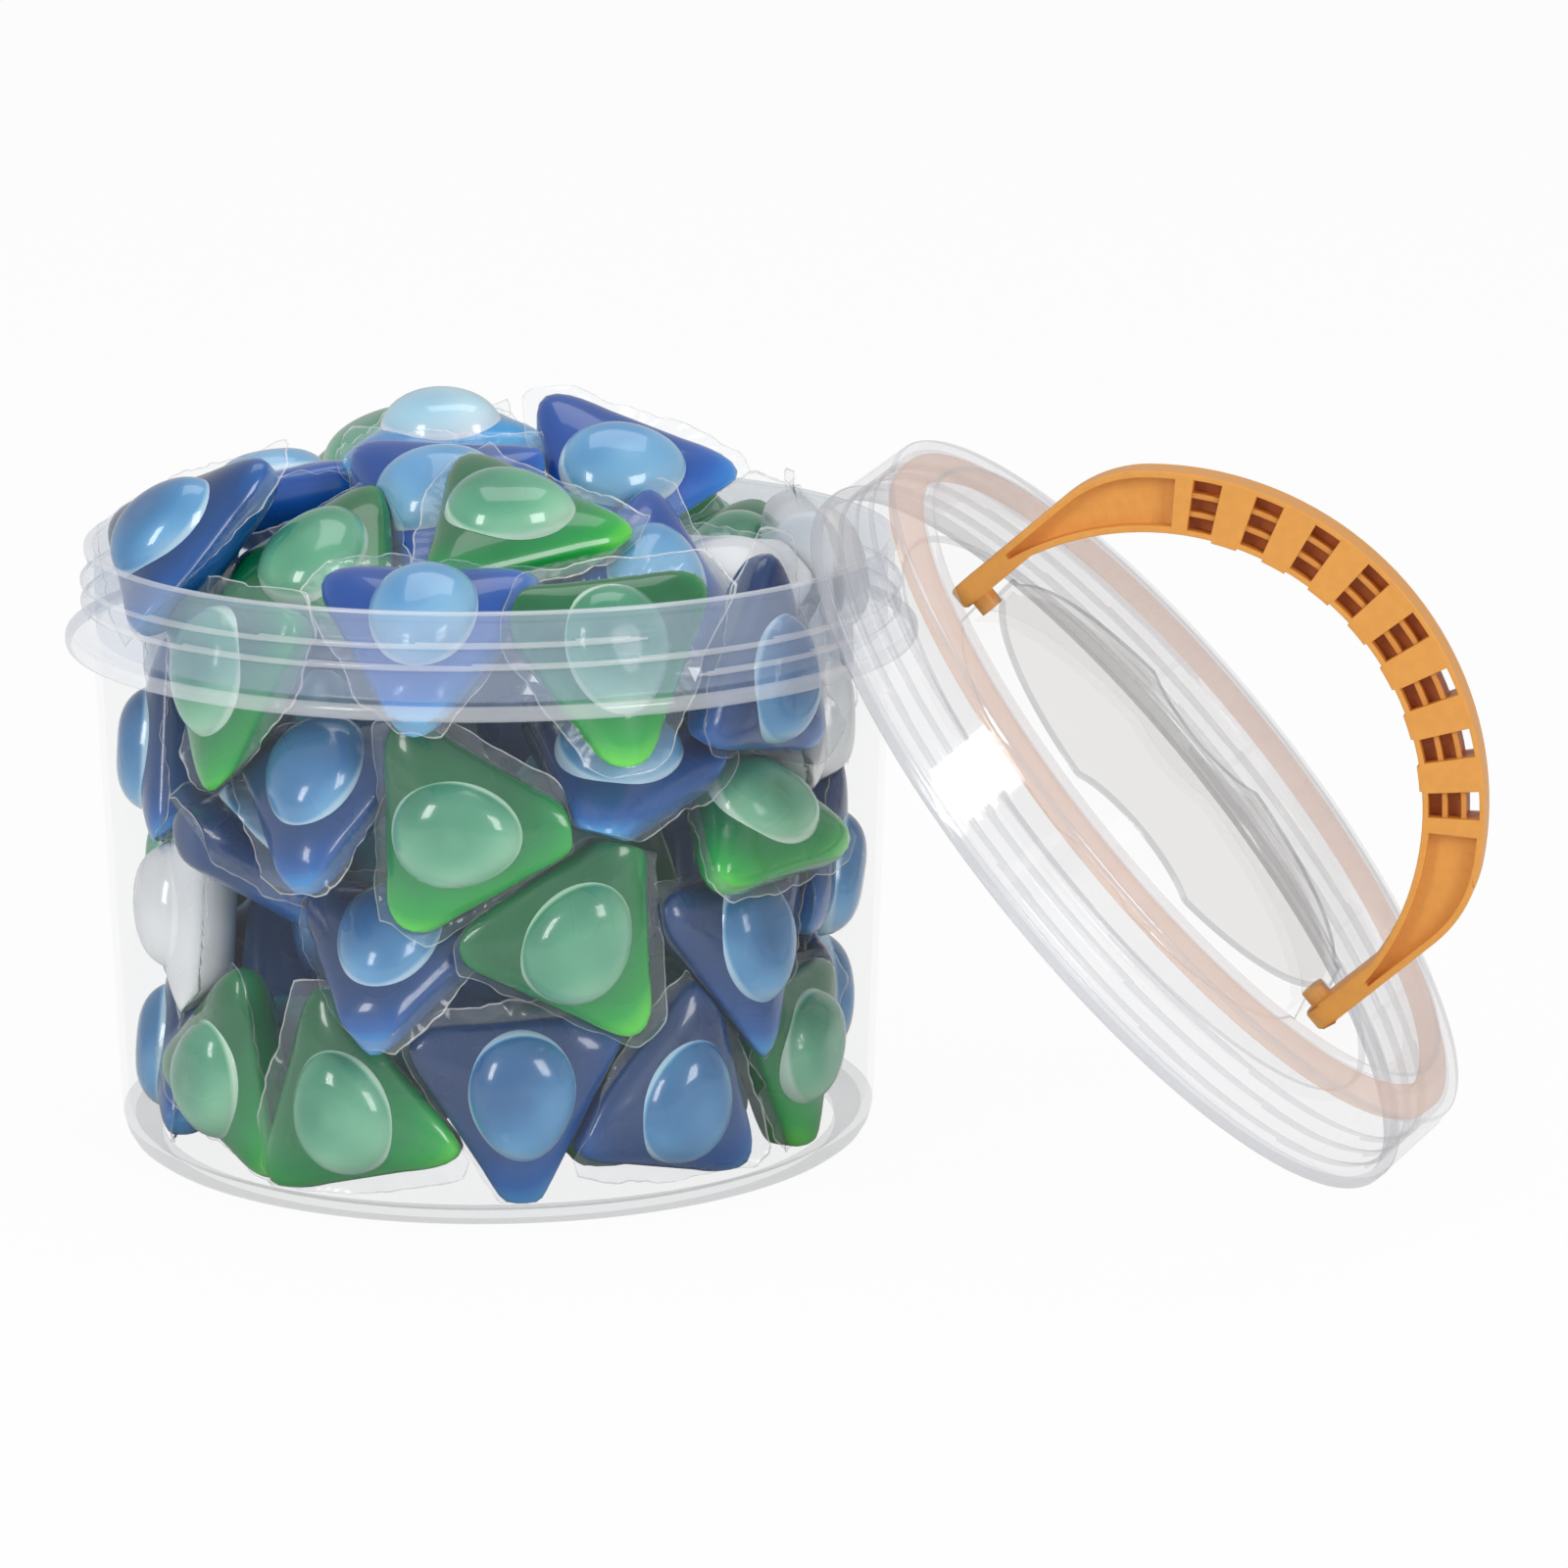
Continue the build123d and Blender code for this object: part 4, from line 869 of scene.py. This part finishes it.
def film_rings(seed, stretch):
    """The film margin: a closed sheet 0.14 mm thick round the seam. Its corners are cut square, its
    edge wanders a little, and it flutters up and down by waves that grow towards the edge."""
    random = np.random.default_rng(seed)
    angle = np.arange(FILM_COLUMNS) * 2 * np.pi / FILM_COLUMNS
    inner = gel_reach(angle) * 0.95
    outer = triangle_reach(angle, FILM_SIDE, FILM_POWER)
    nearest = np.round((angle - np.pi / 2) / (2 * np.pi / 3)).astype(int) % 3
    reach = FILM_CORNER + stretch * random.uniform(0.2, 1.0, 3)[nearest]
    outer = np.minimum(outer, reach / np.cos(angle - np.pi / 2 - nearest * 2 * np.pi / 3))
    wave, edge = np.zeros(FILM_COLUMNS), np.zeros(FILM_COLUMNS)
    for k, size in FLUTTERS:
        wave += size * random.uniform(0.4, 1.2) * np.sin(k * angle + random.uniform(0, 6.28))
        edge += (0.45 * size * random.uniform(0.2, 1)
                 * np.sin((k + 4) * angle + random.uniform(0, 6.28)))
    wave += stretch * 0.7 * random.uniform(-1, 1) * corner_share(angle)
    outer = outer + np.minimum(edge, 0.6)
    shares = np.array([0, 0.2, 0.45, 0.7, 0.93, 1.0])
    rows = []
    for share, side in [(t, HALF_FILM) for t in shares] + [(t, -HALF_FILM) for t in shares[::-1]]:
        fine = 0.3 * np.sin(40 * angle + 6 * share + seed) * share * (1 - share) * 4
        rows.append(turned(inner + (outer - inner) * share, angle,
                           wave * share ** 1.5 + fine + side))
    return np.array(rows)


print("pod body rings:", pillow_rings(GATHER)[0].shape[:2],
      "dome rings:", dome_rings(GATHER, 0)[0].shape[:2])

# %% [markdown]
# Each liquid has a body finish and a dome finish. The first colour is the deep middle, the last
# one is the painted glow of a thin corner, or on a dome the line where the films meet. The
# photograph's topmost blue pods are brighter, so blue is royal up there and navy below, and four
# pods get theirs by name.

# %% Pod finishes
GEL = {
    "navy": ["#053468", "#084484", "#1260B0", "#48A8EC"],
    "royal": ["#084AA0", "#105EBE", "#2084DC", "#66C4FA"],
    "azure": ["#0C84CC", "#169CDE", "#2CB2EE", "#7CDAFA"],
    "green": ["#00683A", "#088E48", "#1AB244", "#68EE48"],
    "white": ["#DEE3E8", "#E8ECEF", "#F2F4F6", "#FFFFFF"],
}
DOME = {
    "navy": ["#2C669C", "#4484B8", "#6CACDC", "#BCDDF2"],
    "royal": ["#5C9CD0", "#7CB8E0", "#9CD0F0", "#D8EEFA"],
    "azure": ["#9CD0EA", "#B8E0F2", "#D4EEF8", "#F0FAFE"],
    "green": ["#3E906E", "#66B28E", "#94D4AE", "#D2F0DC"],
    "white": ["#E2E6EA", "#EAEEF0", "#F2F4F6", "#FFFFFF"],
}
gel = {key: plastic(key + "_gel", colours, 0.3, gloss=0.5, bump=0.04, mottle=0.06, coat=0.9)
       for key, colours in GEL.items()}
dome = {key: plastic(key + "_dome", colours, 0.26, gloss=0.5, bump=0.03, grain=60.0, mottle=0.04,
                     coat=1.0) for key, colours in DOME.items()}
# The core's colours are lighter than the other gels, painted light for the shaded gaps of the heap.
core = plastic("core_gel", ["#2C68B0", "#4C94D8", "#2C9C58", "#64D468"], 0.3, coat=0.5)
film_sheet = plastic("film_sheet", ["#E4F4FF"], 0.12, alpha=0.07, gloss=1.0, bump=1.0, grain=260.0,
                     ior=2.4)
# The rim finish is a painted highlight: a thin white line along each film's cut edge.
film_rim_highlight = plastic("film_rim_highlight", ["#FFFFFF"], 0.12, alpha=0.36, gloss=1.0, ior=1.8)
print("pod finishes:", len(gel) + len(dome) + 3)

# %% Pods in place
TONES = {"pod_blue_27": "azure", "pod_blue_26": "royal", "pod_blue_25": "royal",
         "pod_blue_22": "navy"}
ROYAL_ABOVE, LOOSE_ABOVE, LOOSE, TIGHT = 108, 100, 3.5, 1.5
# OUTER_ROWS are the film's outer band, which gets the rim finish, a painted highlight.
OUTER_ROWS = (4, 5, 6)


def settled(grid, place):
    """A grid of the pod's own frame, squashed against its neighbours and moved to its place."""
    origin, rows, normal, distance, _ = place
    return inside_tub(squash(grid, normal, distance) @ rows + origin)


def with_ends(value, first):
    """The values of a skin's rings, then those of the two points that close it."""
    return np.concatenate([value.ravel(), [first, value[-1, 0]]])


for number, name in enumerate(pod_names):
    place = places[name]
    colour, height = name.split("_")[1], place[0][2]
    blue = "royal" if height > ROYAL_ABOVE else "navy"
    tone = TONES.get(name, blue if colour == "blue" else colour)
    gather = place[1] @ (GATHER + 0.25 * np.sin([number, 2.3 * number, 3.7 * number]))
    body_grid, body_value = pillow_rings(gather)
    dome_grid, dome_value = dome_rings(gather, number)
    body_skin = capped(settled(body_grid, place))
    dome_skin = capped(settled(dome_grid, place))
    stretch = LOOSE if height > LOOSE_ABOVE else TIGHT
    film_skin = looped(settled(film_rings(number, stretch), place))
    film_row = np.arange(len(film_skin[1])) // FILM_COLUMNS
    skins = [(*body_skin, 0, with_ends(body_value, body_value[0, 0])),
             (*dome_skin, 1, with_ends(dome_value, 1)),
             (*film_skin, np.where(np.isin(film_row, OUTER_ROWS), 3, 2), 0.0)]
    piece = make_piece(name + "_gel", skins, [gel[tone], dome[tone], film_sheet, film_rim_highlight])
    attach(piece, "tub_and_lid")
    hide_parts(name)
print("pods:", len(pod_names), "faces each:", len(piece.data.polygons))

# %% [markdown]
# The pods in the middle are one node, because the catalogue takes only so many. Each of its solids
# becomes a smooth pod that looks outwards, because only glimpses of them show between the others.

# %% Hidden core
CORE_SHIFT, LOW_SHIFT, LOW_LAYERS, CORE_SIZE = 9.0, 17.0, 30, 1.16
GOLDEN_TURN = 2.4


def solid_centres(mesh):
    """The centre (mm) of each loose solid of a mesh."""
    skin = bmesh.new()
    skin.from_mesh(mesh)
    bmesh.ops.remove_doubles(skin, verts=skin.verts, dist=1e-6)
    left, centres = set(skin.verts), []
    while left:
        island, queue = set(), [left.pop()]
        while queue:
            vertex = queue.pop()
            island.add(vertex)
            for edge in vertex.link_edges:
                other = edge.other_vert(vertex)
                if other in left:
                    left.remove(other)
                    queue.append(other)
        centres.append(np.mean([v.co for v in island], 0) / MM)
    skin.free()
    return np.array(sorted(centres, key=tuple))


core_skins = []
for number, centre in enumerate(solid_centres(nodes["pods_core"].data)):
    outward = np.array([centre[0], centre[1], 0.0]) / max(1.0, np.hypot(centre[0], centre[1]))
    spin = number * GOLDEN_TURN
    side = np.cross([0, 0, 1.0], outward)
    level = side * math.cos(spin) + np.array([0, 0, math.sin(spin)])
    rows = np.array([level, np.cross(outward, level), outward])
    body_grid, body_value = pillow_rings(rows @ GATHER)
    shift = LOW_SHIFT if centre[2] < LOW_LAYERS else CORE_SHIFT
    moved = inside_tub(CORE_SIZE * body_grid @ rows + centre + shift * outward)
    # Half the core pods take the blue and half the green end of the core's colours, and body_value
    # adds the same painted glow as on the other pods.
    value = 0.5 * (number % 2) + 0.45 * body_value
    core_skins.append((*capped(moved), 0, with_ends(value, value[0, 0])))
piece = make_piece("pods_core_gel", core_skins, [core])
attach(piece, "tub_and_lid")
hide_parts("pods_core")
print("core pods:", len(core_skins), "faces:", len(piece.data.polygons))

# %% [markdown]
# ## Studio
# The picture is a plain pack shot: white ground, broad even light, and two upright softboxes
# that leave tall bright patches on every wet-looking pod. The ground and the world show white to
# the camera, also through see-through walls, but the ground still takes the object's shadow.

# %% Ground and world
GROUND_HALF, GROUND_LEVEL, GROUND_WHITE, WORLD_GREY = 3.0, -0.0004, 0.95, 0.54


def card(name, half, z):
    """A flat square on one level, which reaches half its width (metres) to each side."""
    mesh = bpy.data.meshes.new(name)
    corners = [(-half, -half, z), (half, -half, z), (half, half, z), (-half, half, z)]
    mesh.from_pydata(corners, [], [(0, 1, 2, 3)])
    piece = bpy.data.objects.new(name, mesh)
    bpy.context.scene.collection.objects.link(piece)
    piece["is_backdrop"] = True
    return piece


def add_white_rays(tree, surface, strength, plain):
    """Camera rays see this share of the white surface; all other rays meet the plain one."""
    path = tree.nodes.new("ShaderNodeLightPath")
    share = tree.nodes.new("ShaderNodeMath")
    share.operation = "MULTIPLY"
    share.inputs[1].default_value = strength
    tree.links.new(path.outputs["Is Camera Ray"], share.inputs[0])
    mix = tree.nodes.new("ShaderNodeMixShader")
    tree.links.new(share.outputs[0], mix.inputs[0])
    tree.links.new(plain, mix.inputs[1])
    tree.links.new(surface, mix.inputs[2])
    return mix.outputs[0]


ground = card("ground", GROUND_HALF, GROUND_LEVEL)
paper = bpy.data.materials.new("white_paper")
paper.use_nodes = True
tree = paper.node_tree
diffuse = tree.nodes["Principled BSDF"]
diffuse.inputs["Base Color"].default_value = (0.9, 0.9, 0.9, 1)
diffuse.inputs["Roughness"].default_value = 0.9
white = tree.nodes.new("ShaderNodeEmission")
tree.links.new(add_white_rays(tree, white.outputs[0], GROUND_WHITE, diffuse.outputs[0]),
               tree.nodes["Material Output"].inputs["Surface"])
ground.data.materials.append(paper)
world = bpy.data.worlds.new("studio_white")
bpy.context.scene.world = world
world.use_nodes = True
tree = world.node_tree
even = tree.nodes["Background"]
even.inputs["Color"].default_value = (WORLD_GREY, WORLD_GREY, WORLD_GREY, 1)
bright = tree.nodes.new("ShaderNodeBackground")
bright.inputs["Color"].default_value = (1, 1, 1, 1)
tree.links.new(add_white_rays(tree, bright.outputs[0], 1.0, even.outputs[0]),
               tree.nodes["World Output"].inputs["Surface"])
print("world and ground ready")


# %% Softboxes and camera
LENS, SENSOR, CAMERA_ROLL = 137.05, 36.0, math.radians(-0.12)
CAMERA_PLACE, CAMERA_AIM = (0.0589, -1.1866, 0.3426), (0.0, 0.9748, -0.2231)


def softbox(name, place, target, width, height, radiance):
    """A rectangular lamp that faces the target; its power is radiance times area times pi."""
    lamp = bpy.data.lights.new(name, "AREA")
    lamp.shape = "RECTANGLE"
    lamp.size, lamp.size_y = width, height
    lamp.energy = radiance * width * height * math.pi
    light = bpy.data.objects.new(name, lamp)
    bpy.context.scene.collection.objects.link(light)
    light.location = place
    light.rotation_euler = (Vector(target) - Vector(place)).to_track_quat("-Z", "Y").to_euler()
    return light


softbox("left_softbox", (-0.75, -0.95, 0.62), (0.0, 0, 0.06), 0.29, 0.62, 8.0)
softbox("right_softbox", (0.85, -0.95, 0.62), (0.05, 0, 0.06), 0.40, 0.62, 6.0)
softbox("top_softbox", (0.05, 0.15, 1.1), (0.05, 0, 0.1), 0.7, 0.5, 1.6)
view = bpy.data.cameras.new("photo_camera")
view.lens, view.sensor_width = LENS, SENSOR
view.clip_start, view.clip_end = 0.05, 20.0
camera = bpy.data.objects.new("photo_camera", view)
bpy.context.scene.collection.objects.link(camera)
camera.location = CAMERA_PLACE
camera.rotation_mode = "QUATERNION"
look = Vector(CAMERA_AIM).to_track_quat("-Z", "Y")
camera.rotation_quaternion = look @ Matrix.Rotation(CAMERA_ROLL, 3, "Z").to_quaternion()
bpy.context.scene.camera = camera
bpy.context.scene.view_settings.view_transform = "Standard"
print("camera at", tuple(round(v, 4) for v in camera.location))

bpy.context.view_layer.update()
seen_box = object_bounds()
for label, box in (("cad", cad_box), ("visual", seen_box)):
    print(label, [[round(v, 4) for v in c] for c in box])
